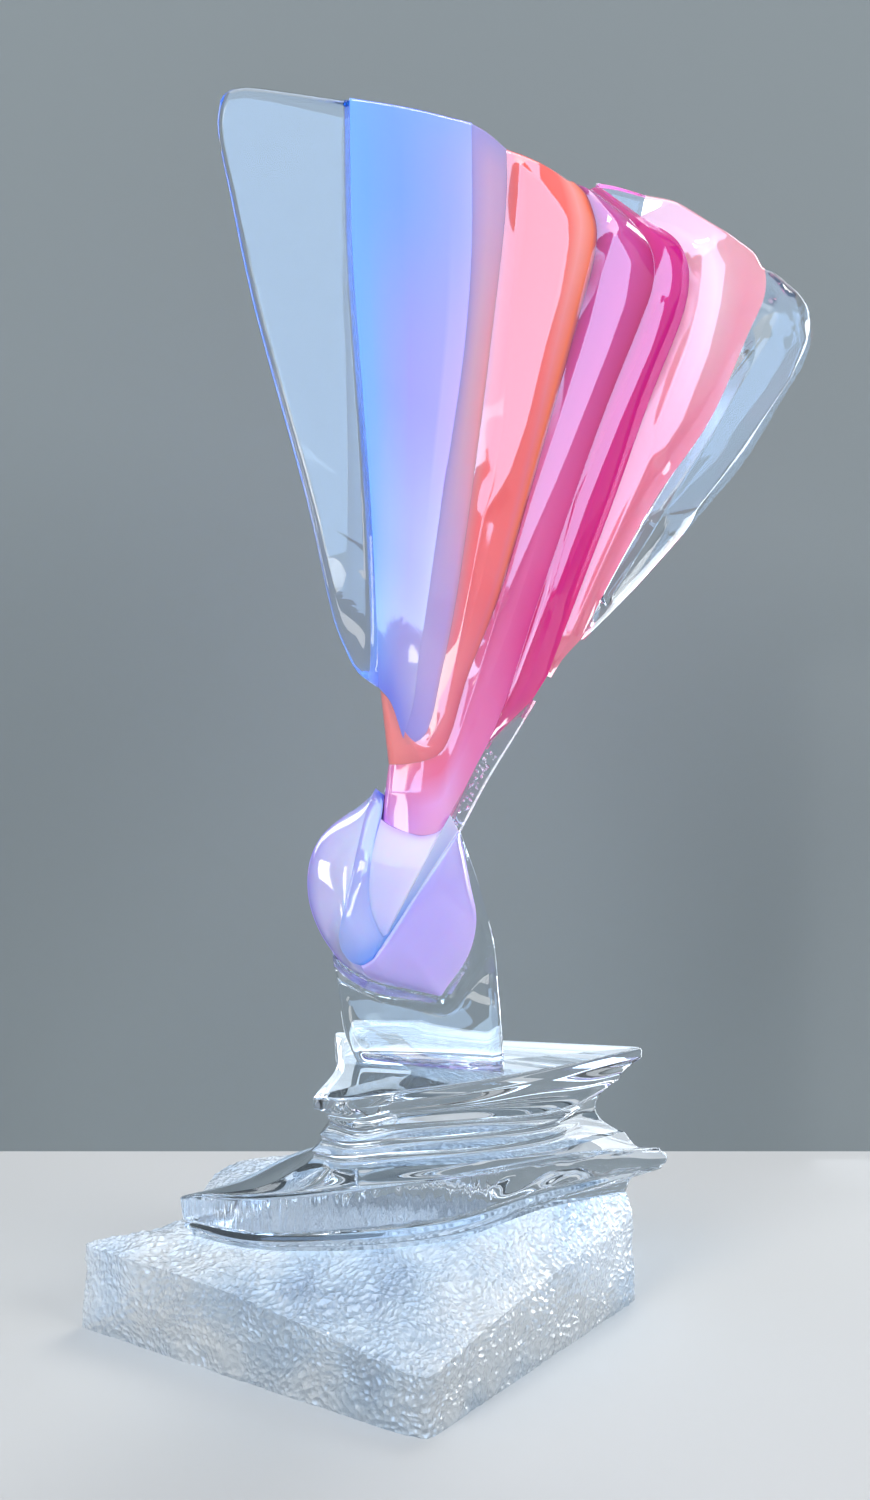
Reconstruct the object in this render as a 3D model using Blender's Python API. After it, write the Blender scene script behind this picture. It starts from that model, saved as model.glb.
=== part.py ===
# Laminated acrylic sculpture: eight leaves spread as a fan on a clear neck and a carved block.
# Metres, +Z up. The fan faces -Y, and the origin lies on the rest plane under the neck.

import math

import bpy
import numpy as np

# Sizes of the block, from the rest plane up
FOOT_HEIGHT = 0.062        # middle of the line where the hammered foot ends
SHELF_HEIGHT = 0.042       # polished shelf with the nose and the fin
FLUTE_HEIGHT = 0.026       # grooved slab
TOP_HEIGHT = 0.018         # slab with the flat top face
EDGE_DROP = 0.014          # upper edge of the foot's sides, below FOOT_HEIGHT
SIDE_GROOVE = 0.017        # depth of the round groove at the right of the grooved slab
GROOVE_REACH = 0.055       # how far that groove reaches from the right corner
FRONT_GROOVE = 0.0035      # depth of the long grooves along its front
GROOVE_COUNT = 2           # long grooves along the front
TOP_CORNER = 0.003         # how far the top slab's sides lean in towards its lower face

# Sizes of the upper part
NECK_RISE = 0.134          # top face of the block to the waist
NECK_WIDTH = 0.083
NECK_DEPTH = 0.032
NECK_TURN = math.radians(-17)
NECK_CENTRE = (-0.003, 0.018)
NECK_CHAMFER = 0.005
NECK_FOOT_LAND = 0.72      # share of the neck's depth left at its chamfered foot
NECK_LEFT = [(0, 0), (-0.007, 0.0148), (-0.0105, 0.035)]   # from its left foot corner to the pocket
NECK_RIGHT = [(0, 0), (-0.001, 0.020), (-0.0025, 0.0405), (-0.0056, 0.070), (-0.0128, 0.098)]
NECK_TIP = 0.001           # width left of its tip at the waist
NECK_TOP_LEFT = (0.005, 0.024)     # depths of its front and back at the pocket's left lip
NECK_TOP_RIGHT = (0.000, 0.013)    # and at the waist
GAP = 0.0003               # glue line between two bonded pieces

# Edges and relief of the leaves
LEAF_EDGE_RADIUS = 0.005   # rounding of the rim and of the outer edges
LEAF_EDGE_LAND = 0.25      # share of the thickness left at a rounded edge
LEAF_CROWN = 0.17          # height of a leaf's ridge as a share of the leaf's width there
MOST_CROWN_WIDTH = 0.045   # a wider leaf rises no more than one of this width
BULB_RADIUS = 0.020        # rounding of the violet lobes
BULB_EDGE_LAND = 0.2
BULB_CROWN = 0.05
STEM_CROWN = 0.08
SPINE_RADIUS = 0.004

# Rows of the meshes
ROW_SWAY = 0.11            # rows lie closer together towards the tip and the rim
STEM_ROWS = 21             # along each leaf
SPINE_ROWS = 6             # of those, along the spine
SPINE_GAP_ROWS = 1         # from the spine to the pink leaf
WEDGE_ROWS = 5             # along the clear wedge at the rim
WEDGE_END_ROWS = 2
PINK_FOOT_ROWS = 1
FOOT_SEAM_ROWS = 6         # of the hook, along the foot of the sky blue leaf
HOOK_ROWS = 10             # where the leaves turn left at the waist
BULB_ROWS = 14
BULB_LIP_ROWS = 3
BULB_BOTTOM_ROWS = 5
BULB_END_ROWS = 2
RING_STEPS = 8             # points between two corners of a slab's outline

BLOCK_TOP = FOOT_HEIGHT + SHELF_HEIGHT + FLUTE_HEIGHT + TOP_HEIGHT
WAIST = BLOCK_TOP + GAP + NECK_RISE

# Seams of the fan as the viewer sees them: (x, height above the waist), bottom to top, then the depth of
# the front and of the back along them.
FAN_SEAMS = {
    "outer_left": {
        "points": [(-0.0327, 0.0785), (-0.0437, 0.0873), (-0.0502, 0.0999), (-0.0556, 0.1135),
                   (-0.0710, 0.1813), (-0.1008, 0.2914), (-0.1124, 0.3465), (-0.1201, 0.3878),
                   (-0.1184, 0.4021)],
        "front": [-0.006, -0.011, -0.011, -0.011], "back": [0.006, 0.001, -0.001, -0.001],
    },
    "clear_blue": {
        "points": [(-0.0306, 0.0775), (-0.0322, 0.1256), (-0.0350, 0.1802), (-0.0410, 0.2621),
                   (-0.0448, 0.3167), (-0.0464, 0.4003)],
        "front": [-0.013, -0.016, -0.016, -0.016], "back": [0.012, 0.008, 0.005, 0.003],
    },
    "ridge": {
        "points": [(-0.0176, 0.0502), (-0.0121, 0.0683), (-0.0093, 0.0900), (-0.0044, 0.1226),
                   (0.0038, 0.1795), (0.0157, 0.2609), (0.0196, 0.3152), (0.0196, 0.3847)],
        "front": [-0.010, -0.020, -0.021, -0.021], "back": [0.014, 0.014, 0.010, 0.007],
    },
    "blue_foot": {
        "points": [(-0.0307, 0.0770), (-0.0247, 0.0700), (-0.0176, 0.0502)],
        "front": [-0.012, -0.010], "back": [0.012, 0.014],
    },
    "lavender_foot": {
        "points": [(-0.0176, 0.0502), (-0.0155, 0.0458)],
        "front": [-0.010, -0.009], "back": [0.014, 0.014],
    },
    "lavender_coral": {
        "points": [(-0.0155, 0.0458), (-0.0066, 0.0502), (-0.0017, 0.0612), (0.0022, 0.0794),
                   (0.0116, 0.1262), (0.0303, 0.2639), (0.0392, 0.3471), (0.0392, 0.3761)],
        "front": [-0.009, -0.011, -0.011, -0.009], "back": [0.014, 0.015, 0.013, 0.010],
    },
    "coral_foot": {
        "points": [(-0.0261, 0.0352), (-0.0183, 0.0353), (-0.0066, 0.0370)],
        "front": [-0.006, -0.010], "back": [0.010, 0.014],
    },
    "coral_magenta": {
        "points": [(-0.0066, 0.0370), (0.0028, 0.0414), (0.0083, 0.0513), (0.0177, 0.0828),
                   (0.0348, 0.1264), (0.0514, 0.1818), (0.0793, 0.2815), (0.0885, 0.3160),
                   (0.0902, 0.3330), (0.0880, 0.3440), (0.0838, 0.3542), (0.0750, 0.3627)],
        "front": [-0.010, -0.008, -0.004, 0.002], "back": [0.014, 0.016, 0.018, 0.019],
    },
    "cup": {
        "points": [(-0.0300, 0.0052), (-0.0249, 0.0016), (-0.0154, -0.0021), (-0.0060, -0.0037),
                   (0.0028, -0.0010), (0.0083, 0.0077)],
        "front": [-0.005, -0.011, -0.008], "back": [0.010, 0.017, 0.015],
    },
    "magenta_seam": {
        "points": [(0.0083, 0.0077), (0.0194, 0.0281), (0.0354, 0.0602), (0.0577, 0.1268),
                   (0.0929, 0.2272), (0.1149, 0.2822), (0.1213, 0.2995), (0.1232, 0.3123),
                   (0.1213, 0.3254), (0.1098, 0.3425), (0.0999, 0.3506), (0.0866, 0.3611)],
        "front": [-0.008, -0.004, 0.002, 0.010], "back": [0.015, 0.018, 0.023, 0.026],
    },
    "spine_seam": {
        "points": [(0.0090, 0.0063), (0.0190, 0.0268), (0.0302, 0.0463), (0.0544, 0.0715)],
        "front": [-0.004, 0.002], "back": [0.014, 0.016],
    },
    "spine_gap": {
        "points": [(0.0544, 0.0715), (0.0630, 0.0850)],
        "front": [0.002, 0.004], "back": [0.016, 0.018],
    },
    "magenta_pink": {
        "points": [(0.0630, 0.0850), (0.0794, 0.1279), (0.1010, 0.1845), (0.1215, 0.2413),
                   (0.1416, 0.2927), (0.1448, 0.3097), (0.1439, 0.3211), (0.1374, 0.3342),
                   (0.1177, 0.3474)],
        "front": [0.004, 0.008, 0.014, 0.018], "back": [0.018, 0.024, 0.030, 0.032],
    },
    "wedge_seam": {
        "points": [(0.1177, 0.3474), (0.1014, 0.3585), (0.0918, 0.3650)],
        "front": [0.018, 0.016], "back": [0.032, 0.028],
    },
    "wedge_end": {
        "points": [(0.1177, 0.3474), (0.1212, 0.3624)],
        "front": [0.018, 0.021], "back": [0.032, 0.032],
    },
    "wedge_tip": {
        "points": [(0.0918, 0.3650), (0.0925, 0.3672)],
        "front": [0.016, 0.016], "back": [0.028, 0.028],
    },
    "pink_foot": {
        "points": [(0.0655, 0.0842), (0.0720, 0.0945), (0.0825, 0.1060)],
        "front": [0.008, 0.010], "back": [0.018, 0.022],
    },
    "pink_clear": {
        "points": [(0.0825, 0.1060), (0.0942, 0.1290), (0.1260, 0.1866), (0.1581, 0.2331),
                   (0.1806, 0.2834), (0.1896, 0.3035), (0.1911, 0.3137), (0.1902, 0.3235)],
        "front": [0.010, 0.017, 0.023, 0.027], "back": [0.022, 0.032, 0.038, 0.040],
    },
    "outer_right": {
        "points": [(0.0852, 0.1060), (0.1091, 0.1295), (0.1613, 0.1879), (0.1804, 0.2110),
                   (0.2053, 0.2515), (0.2152, 0.2678), (0.2204, 0.2830), (0.2210, 0.2942)],
        "front": [0.014, 0.024, 0.030, 0.033], "back": [0.024, 0.036, 0.042, 0.045],
    },
    "spine_outer": {
        "points": [(0.0140, -0.0037), (0.0302, 0.0266), (0.0476, 0.0547), (0.0573, 0.0705)],
        "front": [0.000, 0.004], "back": [0.012, 0.015],
    },
}

# Rim of each leaf, left to right: (x, height above the waist)
RIMS = {
    "clear_left": [(-0.1184, 0.4021), (-0.1149, 0.4063), (-0.1080, 0.4088), (-0.1002, 0.4087),
                   (-0.0464, 0.4003)],
    "sky_blue": [(-0.0464, 0.4003), (-0.0136, 0.3938), (0.0196, 0.3847)],
    "lavender": [(0.0196, 0.3847), (0.0296, 0.3815), (0.0392, 0.3761)],
    "coral": [(0.0392, 0.3761), (0.0620, 0.3675), (0.0750, 0.3627)],
    "wedge": [(0.0925, 0.3672), (0.1030, 0.3662), (0.1212, 0.3624)],
    "pink": [(0.1212, 0.3624), (0.1379, 0.3578), (0.1610, 0.3440), (0.1745, 0.3364),
             (0.1847, 0.3305), (0.1902, 0.3235)],
    "clear_right": [(0.1902, 0.3235), (0.1963, 0.3210), (0.2076, 0.3109), (0.2166, 0.3020),
                    (0.2210, 0.2942)],
}

# Seams of the bulb and the tongue, below the waist
BULB_SEAMS = {
    "pocket_lip": {
        "points": [(-0.0359, -0.0840), (-0.0510, -0.0768), (-0.0580, -0.0707)],
        "front": [-0.006, 0.002], "back": [0.026, 0.020],
    },
    "bulb_left": {
        "points": [(-0.0580, -0.0707), (-0.0643, -0.0611), (-0.0702, -0.0468), (-0.0721, -0.0342),
                   (-0.0709, -0.0201), (-0.0659, -0.0083), (-0.0585, 0.0002), (-0.0385, 0.0145)],
        "front": [0.002, 0.004, 0.004, 0.002], "back": [0.020, 0.020, 0.018, 0.012],
    },
    "tongue_left": {
        "points": [(-0.0400, -0.0747), (-0.0460, -0.0729), (-0.0514, -0.0668), (-0.0525, -0.0585),
                   (-0.0486, -0.0389), (-0.0432, -0.0138), (-0.0372, 0.0119), (-0.0329, 0.0217)],
        "front": [-0.015, -0.015, -0.013, -0.006], "back": [0.030, 0.030, 0.024, 0.012],
    },
    "loop_foot": {
        "points": [(-0.0400, -0.0747), (-0.0334, -0.0703)],
        "front": [-0.015, -0.016], "back": [0.030, 0.030],
    },
    "loop_end": {
        "points": [(-0.0334, -0.0703), (-0.0285, -0.0585)],
        "front": [-0.016, -0.017], "back": [0.030, 0.030],
    },
    "tongue_inner": {
        "points": [(-0.0285, -0.0585), (-0.0312, -0.0540), (-0.0345, -0.0457), (-0.0360, -0.0316),
                   (-0.0344, -0.0138), (-0.0300, 0.0052)],
        "front": [-0.017, -0.017, -0.016, -0.008], "back": [0.030, 0.028, 0.024, 0.012],
    },
    "blue_tip": {
        "points": [(-0.0300, 0.0052), (-0.0283, 0.0180)],
        "front": [-0.008, -0.004], "back": [0.012, 0.010],
    },
    "tongue_right": {
        "points": [(-0.0258, -0.0570), (-0.0170, -0.0400), (0.0083, 0.0077)],
        "front": [-0.017, -0.016, -0.011], "back": [0.030, 0.024, 0.016],
    },
    "tongue_outer": {
        "points": [(-0.0334, -0.0703), (-0.0263, -0.0600), (-0.0011, -0.0224), (0.0131, -0.0019)],
        "front": [-0.016, -0.013, -0.006], "back": [0.030, 0.024, 0.015],
    },
    "bulb_bottom": {
        "points": [(-0.0359, -0.0840), (-0.0293, -0.0864), (-0.0155, -0.0894), (0.0033, -0.0940)],
        "front": [-0.006, -0.002], "back": [0.026, 0.024],
    },
    "bulb_right": {
        "points": [(0.0033, -0.0940), (0.0073, -0.0878), (0.0146, -0.0781), (0.0202, -0.0671),
                   (0.0230, -0.0510), (0.0191, -0.0294), (0.0153, -0.0096), (0.0140, -0.0037)],
        "front": [-0.002, 0.000, 0.002, 0.000], "back": [0.024, 0.020, 0.018, 0.013],
    },
}

# Plan outlines of the block as (x, y, height above the slab's level), counter-clockwise from the left:
# left, front left, the blunt front corner's two ends, front right, right, back, back left, left scoop.
REST_OUTLINE = [(-0.201, 0.006, 0), (-0.110, -0.051, 0), (-0.014, -0.110, 0), (-0.003, -0.114, 0),
                (0.060, -0.034, 0), (0.121, 0.043, 0), (-0.088, 0.157, 0), (-0.140, 0.124, 0),
                (-0.160, 0.046, 0)]
FOOT_EDGE = [(-0.199, 0.007, -0.002), (-0.108, -0.048, -0.006), (-0.013, -0.107, -0.020),
             (-0.003, -0.111, -0.020), (0.059, -0.033, -0.006), (0.119, 0.043, 0.002),
             (-0.088, 0.153, 0.004), (-0.136, 0.120, 0.005), (-0.153, 0.038, -0.001)]
FOOT_SLOPE = [(-0.178, 0.011, -0.012), (-0.104, -0.032, -0.014), (-0.024, -0.062, -0.017),
              (0.004, -0.063, -0.016), (0.060, -0.017, -0.010), (0.117, 0.044, -0.006),
              (-0.080, 0.138, -0.005), (-0.122, 0.108, -0.006), (-0.138, 0.030, -0.013)]
FOOT_TOP = [(-0.137, 0.003, -0.009), (-0.103, -0.016, -0.009), (-0.048, -0.030, -0.005),
            (0.009, -0.031, 0.001), (0.058, -0.003, 0.007), (0.115, 0.047, 0.000),
            (-0.040, 0.110, 0.000), (-0.085, 0.078, -0.004), (-0.112, 0.030, -0.008)]
SHELF_EDGE_LOW = [(-0.141, -0.001, -0.003), (-0.106, -0.020, -0.005), (-0.050, -0.034, -0.001),
                  (0.009, -0.036, 0.006), (0.060, -0.008, 0.013), (0.141, 0.056, 0.011),
                  (-0.042, 0.116, 0.004), (-0.090, 0.084, 0.000), (-0.119, 0.032, -0.003)]
SHELF_EDGE_HIGH = [(-0.143, -0.003, 0.013), (-0.095, -0.024, 0.020), (-0.040, -0.038, 0.030),
                   (0.020, -0.036, 0.038), (0.075, 0.000, 0.036), (0.142, 0.057, 0.022),
                   (-0.042, 0.116, 0.016), (-0.088, 0.084, 0.010), (-0.118, 0.033, 0.009)]
SHELF_TOP = [(-0.071, -0.028, -0.002), (-0.055, -0.045, 0.002), (-0.020, -0.047, 0.004),
             (0.020, -0.038, 0.003), (0.070, -0.004, 0.000), (0.114, 0.048, -0.006),
             (-0.045, 0.092, -0.007), (-0.060, 0.055, -0.008), (-0.066, 0.015, -0.005)]
FLUTE_TOP = [(-0.056, -0.050, 0.004), (-0.042, -0.056, 0.001), (-0.019, -0.046, 0.000),
             (0.015, -0.031, -0.002), (0.070, 0.003, -0.006), (0.110, 0.044, 0.000),
             (-0.055, 0.086, 0.000), (-0.054, 0.045, 0.001), (-0.052, 0.005, 0.002)]
TOP_FACE = [(-0.063, -0.060, 0), (-0.043, -0.062, 0), (-0.019, -0.049, 0), (0.015, -0.033, 0),
            (0.072, 0.004, 0), (0.125, 0.049, 0), (-0.063, 0.090, 0), (-0.059, 0.045, 0),
            (-0.056, 0.000, 0)]
RIGHT_CORNER = 5           # its place in the outlines above
FOOT_CORNERS = {0, 2, 3, 5, 6}
UPPER_CORNERS = {0, 5, 6}
SHELF_UNDERCUT = 0.75      # share of the way in from the shelf's edge to the foot, under the edge
SHELF_HOLLOW = 0.005       # how far the shelf's upper face sags between its edge and the grooved slab
SLAB_CURVE = 0.65          # how near the lower slab the middle rings of the shelf and the top slab lie


def make_material(name, colour, roughness=0.06, transmission=0.0):
    material = bpy.data.materials.new(name)
    material.use_nodes = True
    shader = material.node_tree.nodes["Principled BSDF"]
    shader.inputs["Base Color"].default_value = (*colour, 1.0)
    shader.inputs["Roughness"].default_value = roughness
    shader.inputs["Metallic"].default_value = 0.0
    shader.inputs["IOR"].default_value = 1.49
    shader.inputs["Transmission Weight"].default_value = transmission
    return material


def add_node(name, points, faces, material, smooth=True):
    mesh = bpy.data.meshes.new(name)
    mesh.from_pydata([tuple(map(float, point)) for point in points], [], faces)
    if smooth:
        mesh.shade_smooth()
        mesh.set_sharp_from_angle(angle=math.radians(35))
    mesh.materials.append(material)
    piece = bpy.data.objects.new(name, mesh)
    bpy.context.scene.collection.objects.link(piece)
    return piece


def smooth_curve(points, fractions):
    """Points of a smooth curve through the given ones, at these shares of its length."""
    points = np.array(points, float)
    before = 2 * points[0] - points[1]
    after = 2 * points[-1] - points[-2]
    ends = np.vstack([before, points, after])
    dense = []
    for a, b, c, d in zip(ends, ends[1:], ends[2:], ends[3:]):
        for u in np.linspace(0, 1, 24, endpoint=False):
            dense.append(catmull(a, b, c, d, u))
    dense = np.array(dense + [points[-1]])
    length = np.concatenate([[0], np.cumsum(np.linalg.norm(np.diff(dense, axis=0), axis=1))])
    wanted = np.array(fractions) * length[-1]
    return np.column_stack([np.interp(wanted, length, column) for column in dense.T])


def catmull(a, b, c, d, u):
    """Centripetal Catmull-Rom point between b and c."""
    t = [0.0]
    for p, q in ((a, b), (b, c), (c, d)):
        t.append(t[-1] + max(float(np.linalg.norm(q - p)), 1e-9) ** 0.5)
    at = t[1] + (t[2] - t[1]) * u
    low = mix(a, b, t[0], t[1], at)
    middle = mix(b, c, t[1], t[2], at)
    high = mix(c, d, t[2], t[3], at)
    return mix(mix(low, middle, t[0], t[2], at), mix(middle, high, t[1], t[3], at), t[1], t[2], at)


def mix(p, q, start, end, at):
    share = (at - start) / (end - start)
    return (1 - share) * p + share * q


def even(count):
    return np.linspace(0, 1, count + 1)


def swayed(count):
    """Row positions that lie closer together at both ends."""
    rows = even(count)
    return rows - ROW_SWAY * np.sin(2 * math.pi * rows)


def with_rim_row(rows):
    """The same with one more row for the rounding of the rim."""
    return np.concatenate([rows[:-1], [0.996, 1.0]])


def stretched(rows, start, stop):
    """The row positions from start to stop, spread over the whole of a shorter seam."""
    part = rows[start : stop + 1]
    return (part - part[0]) / (part[-1] - part[0])


def shares(edge):
    """How far along the edge each of its points lies."""
    steps = np.linalg.norm(np.diff(edge[:, :2], axis=0), axis=1)
    length = np.concatenate([[0], np.cumsum(steps)])
    return length / length[-1]


def rail(table, name, fractions):
    """Columns x, z, front depth and back depth along a seam."""
    seam = table[name]
    flat = smooth_curve(seam["points"], fractions)
    depths = [
        np.interp(fractions, even(len(seam[side]) - 1), seam[side]) for side in ("front", "back")
    ]
    return np.column_stack([flat[:, 0], flat[:, 1] + WAIST, *depths])


def joined(*rails):
    return np.vstack([rails[0], *(part[1:] for part in rails[1:])])


def straight(start, end, columns):
    share = np.array(columns)[:, None]
    return (1 - share) * start + share * end


def with_outline(edge, start, end, flat):
    """An edge that follows the flat outline, with depths that run from start's to end's."""
    edge = edge.copy()
    edge[:, :2] = flat
    edge[:, 2:] = straight(start, end, even(len(flat) - 1))[:, 2:]
    return edge


def rim(name, left, right, columns):
    flat = smooth_curve(RIMS[name], columns)
    flat[:, 1] += WAIST
    return with_outline(straight(left[-1], right[-1], columns), left[-1], right[-1], flat)


def unit(vectors):
    return vectors / np.maximum(np.linalg.norm(vectors, axis=1, keepdims=True), 1e-12)


def inset(left, right, bottom, top, distance):
    """The four edges moved inwards, seen from the front."""
    loop = np.vstack([bottom[:-1], right[:-1], top[:0:-1], left[:0:-1]])
    flat = loop[:, :2]
    ahead = np.roll(flat, -1, axis=0)
    turn = math.copysign(1, float(np.sum(flat[:, 0] * ahead[:, 1] - ahead[:, 0] * flat[:, 1])))
    leaving = unit(ahead - flat)
    coming = np.roll(leaving, 1, axis=0)
    normals = [np.column_stack([-run[:, 1], run[:, 0]]) for run in (coming, leaving)]
    spread = np.maximum(1 + np.sum(normals[0] * normals[1], axis=1), 0.3)[:, None]
    loop[:, :2] = flat + turn * distance * (normals[0] + normals[1]) / spread
    loop = np.vstack([loop, loop[:1]])
    stops = np.cumsum([0, len(bottom) - 1, len(right) - 1, len(top) - 1, len(left) - 1])
    sides = [loop[a : b + 1] for a, b in zip(stops, stops[1:])]
    return sides[3][::-1], sides[1], sides[0], sides[2][::-1], turn


def filled(left, right, bottom, top, columns, reach):
    """A grid of points between four edges, rows going up and columns going right.

    reach is how soon the top's shape fades below it: 1 evenly, more is sooner.
    """
    rows = ((shares(left) + shares(right)) / 2)[:, None, None]
    across = np.array(columns)[None, :, None]
    sides = (1 - across) * left[:, None] + across * right[:, None]
    bottom_bow = bottom - straight(bottom[0], bottom[-1], columns)
    top_bow = top - straight(top[0], top[-1], columns)
    return sides + (1 - rows) * bottom_bow[None] + rows**reach * top_bow[None]


def rounding(grid, free, radius, land):
    """Share of the thickness that is left at each point, given which edges are rounded off."""
    edges = {"left": grid[:, :1], "right": grid[:, -1:], "bottom": grid[:1], "top": grid[-1:]}
    share = np.ones(grid.shape[:2])
    for side in free:
        reach = np.linalg.norm((grid - edges[side])[..., :2], axis=2) / radius
        share *= np.sqrt(1 - (1 - np.minimum(reach, 1)) ** 2)
    return land + (1 - land) * share


def slab_between(name, material, left, right, columns, bottom=None, top=None, free=("top",),
                 crown=0.0, crown_shape="ridge", radius=LEAF_EDGE_RADIUS, land=LEAF_EDGE_LAND,
                 reach=1):
    """A piece between two seams: its walls run straight back, its front and back are curved."""
    bottom = straight(left[0], right[0], columns) if bottom is None else bottom
    top = straight(left[-1], right[-1], columns) if top is None else top
    left, right, bottom, top, turn = inset(left, right, bottom, top, GAP / 2)
    grid = filled(left, right, bottom, top, columns, reach)
    width = np.minimum(np.linalg.norm((right - left)[:, :2], axis=1), MOST_CROWN_WIDTH)[:, None]
    rise = crown * width * CROWNS[crown_shape](np.array(columns))[None]
    front = grid[..., 2] - rise
    back = grid[..., 3] + rise / 2
    middle = (front + back) / 2
    half = (back - front) / 2 * rounding(grid, free, radius, land)
    x, z = grid[..., 0], grid[..., 1]
    shown = np.stack([x, middle - half, z], axis=2)
    hidden = np.stack([x, middle + half, z], axis=2)
    points, faces = closed_skin(shown, hidden, turn)
    return add_node(name, points, faces, material)


def ridge(columns):
    """A steep left side, a plateau and a long fall to the right."""
    return np.interp(columns, [0, 0.10, 0.24, 0.62, 0.84, 1], [0, 0.55, 1.0, 0.85, 0.30, 0])


def dome(columns):
    return 4 * columns * (1 - columns)


CROWNS = {"ridge": ridge, "dome": dome}


def closed_skin(shown, hidden, turn):
    rows, columns = shown.shape[:2]
    points = np.vstack([shown.reshape(-1, 3), hidden.reshape(-1, 3)])
    offset = rows * columns
    faces = []
    for i in range(rows - 1):
        for j in range(columns - 1):
            a = i * columns + j
            quad = (a, a + 1, a + columns + 1, a + columns)
            faces.append(quad)
            faces.append(tuple(offset + corner for corner in quad[::-1]))
    border = [j for j in range(columns - 1)]
    border += [i * columns + columns - 1 for i in range(rows - 1)]
    border += [(rows - 1) * columns + j for j in range(columns - 1, 0, -1)]
    border += [i * columns for i in range(rows - 1, 0, -1)]
    for a, b in zip(border, border[1:] + border[:1]):
        faces.append((b, a, offset + a, offset + b))
    if turn < 0:
        faces = [face[::-1] for face in faces]
    return points, faces


def ring(outline, level, corners):
    """A slab's outline as a closed ring of points, sharp at the given corners."""
    points = np.array(outline, float) + (0, 0, level)
    count = len(points)
    found = []
    for i in range(count):
        start, end = points[i], points[(i + 1) % count]
        before = 2 * start - end if i in corners else points[i - 1]
        after = 2 * end - start if (i + 1) % count in corners else points[(i + 2) % count]
        for step in range(RING_STEPS):
            found.append(catmull(before, start, end, after, step / RING_STEPS))
    return np.array(found)


def stack_rings(name, material, rings, smooth=True):
    """A solid through closed rings of points, from the lowest to the highest."""
    count = len(rings[0])
    points = [point for one in rings for point in one]
    faces = []
    for level in range(len(rings) - 1):
        for i in range(count):
            a, b = level * count + i, level * count + (i + 1) % count
            faces.append((a, b, b + count, a + count))
    for level, upward in ((0, False), (len(rings) - 1, True)):
        centre = len(points)
        points.append(rings[level].mean(axis=0))
        for i in range(count):
            a, b = level * count + i, level * count + (i + 1) % count
            faces.append((a, b, centre) if upward else (b, a, centre))
    return add_node(name, points, faces, material, smooth)


def lifted(points, height):
    return points + np.array([0, 0, height])


def grooved(low, high, share):
    """Outline of the grooved slab at this share of its height."""
    outline = (1 - share) * low + share * high
    centre = outline.mean(axis=0)
    inward = centre - outline
    inward[:, 2] = 0
    inward = unit(inward)
    corner = outline[RIGHT_CORNER * RING_STEPS]
    near = np.exp(-((np.linalg.norm((outline - corner)[:, :2], axis=1) / GROOVE_REACH) ** 2))
    round_groove = SIDE_GROOVE * math.sin(math.pi * share) ** 0.8 if 0 < share < 1 else 0.0
    long_grooves = FRONT_GROOVE * math.sin(math.pi * GROOVE_COUNT * share) ** 2
    depth = near * round_groove + (1 - near) * long_grooves
    return outline + inward * depth[:, None]


def make_block(clear, frosted):
    shelf_level = FOOT_HEIGHT
    flute_level = shelf_level + SHELF_HEIGHT
    top_level = flute_level + FLUTE_HEIGHT

    rest = ring(REST_OUTLINE, 0, FOOT_CORNERS)
    edge = ring(FOOT_EDGE, FOOT_HEIGHT - EDGE_DROP, FOOT_CORNERS)
    slope = ring(FOOT_SLOPE, FOOT_HEIGHT, UPPER_CORNERS)
    foot_top = ring(FOOT_TOP, FOOT_HEIGHT, UPPER_CORNERS)
    stack_rings("base_foot_slab", frosted, [rest, edge, slope, lifted(foot_top, -GAP / 2)])

    low = ring(SHELF_EDGE_LOW, shelf_level, UPPER_CORNERS)
    high = ring(SHELF_EDGE_HIGH, shelf_level, UPPER_CORNERS)
    shelf_top = ring(SHELF_TOP, flute_level, UPPER_CORNERS)
    under = low + SHELF_UNDERCUT * (foot_top - low) * (1, 1, 0.2)
    rise = lifted((1 - SLAB_CURVE) * high + SLAB_CURVE * shelf_top, -SHELF_HOLLOW)
    stack_rings(
        "base_shelf_slab", clear,
        [lifted(foot_top, GAP / 2), under, low, high, rise, lifted(shelf_top, -GAP / 2)],
    )

    flute_top = ring(FLUTE_TOP, top_level, UPPER_CORNERS)
    start, end = lifted(shelf_top, GAP / 2), lifted(flute_top, -GAP / 2)
    shares = even(4 * GROOVE_COUNT)
    stack_rings("base_flute_slab", clear, [grooved(start, end, share) for share in shares])

    face = ring(TOP_FACE, BLOCK_TOP, UPPER_CORNERS)
    lip = lifted(face, -TOP_HEIGHT / 3)
    inward = unit(face.mean(axis=0) - face) * TOP_CORNER
    under = (1 - SLAB_CURVE) * lip + SLAB_CURVE * flute_top + inward
    stack_rings("base_top_slab", clear, [lifted(flute_top, GAP / 2), under, lip, face])


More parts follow.
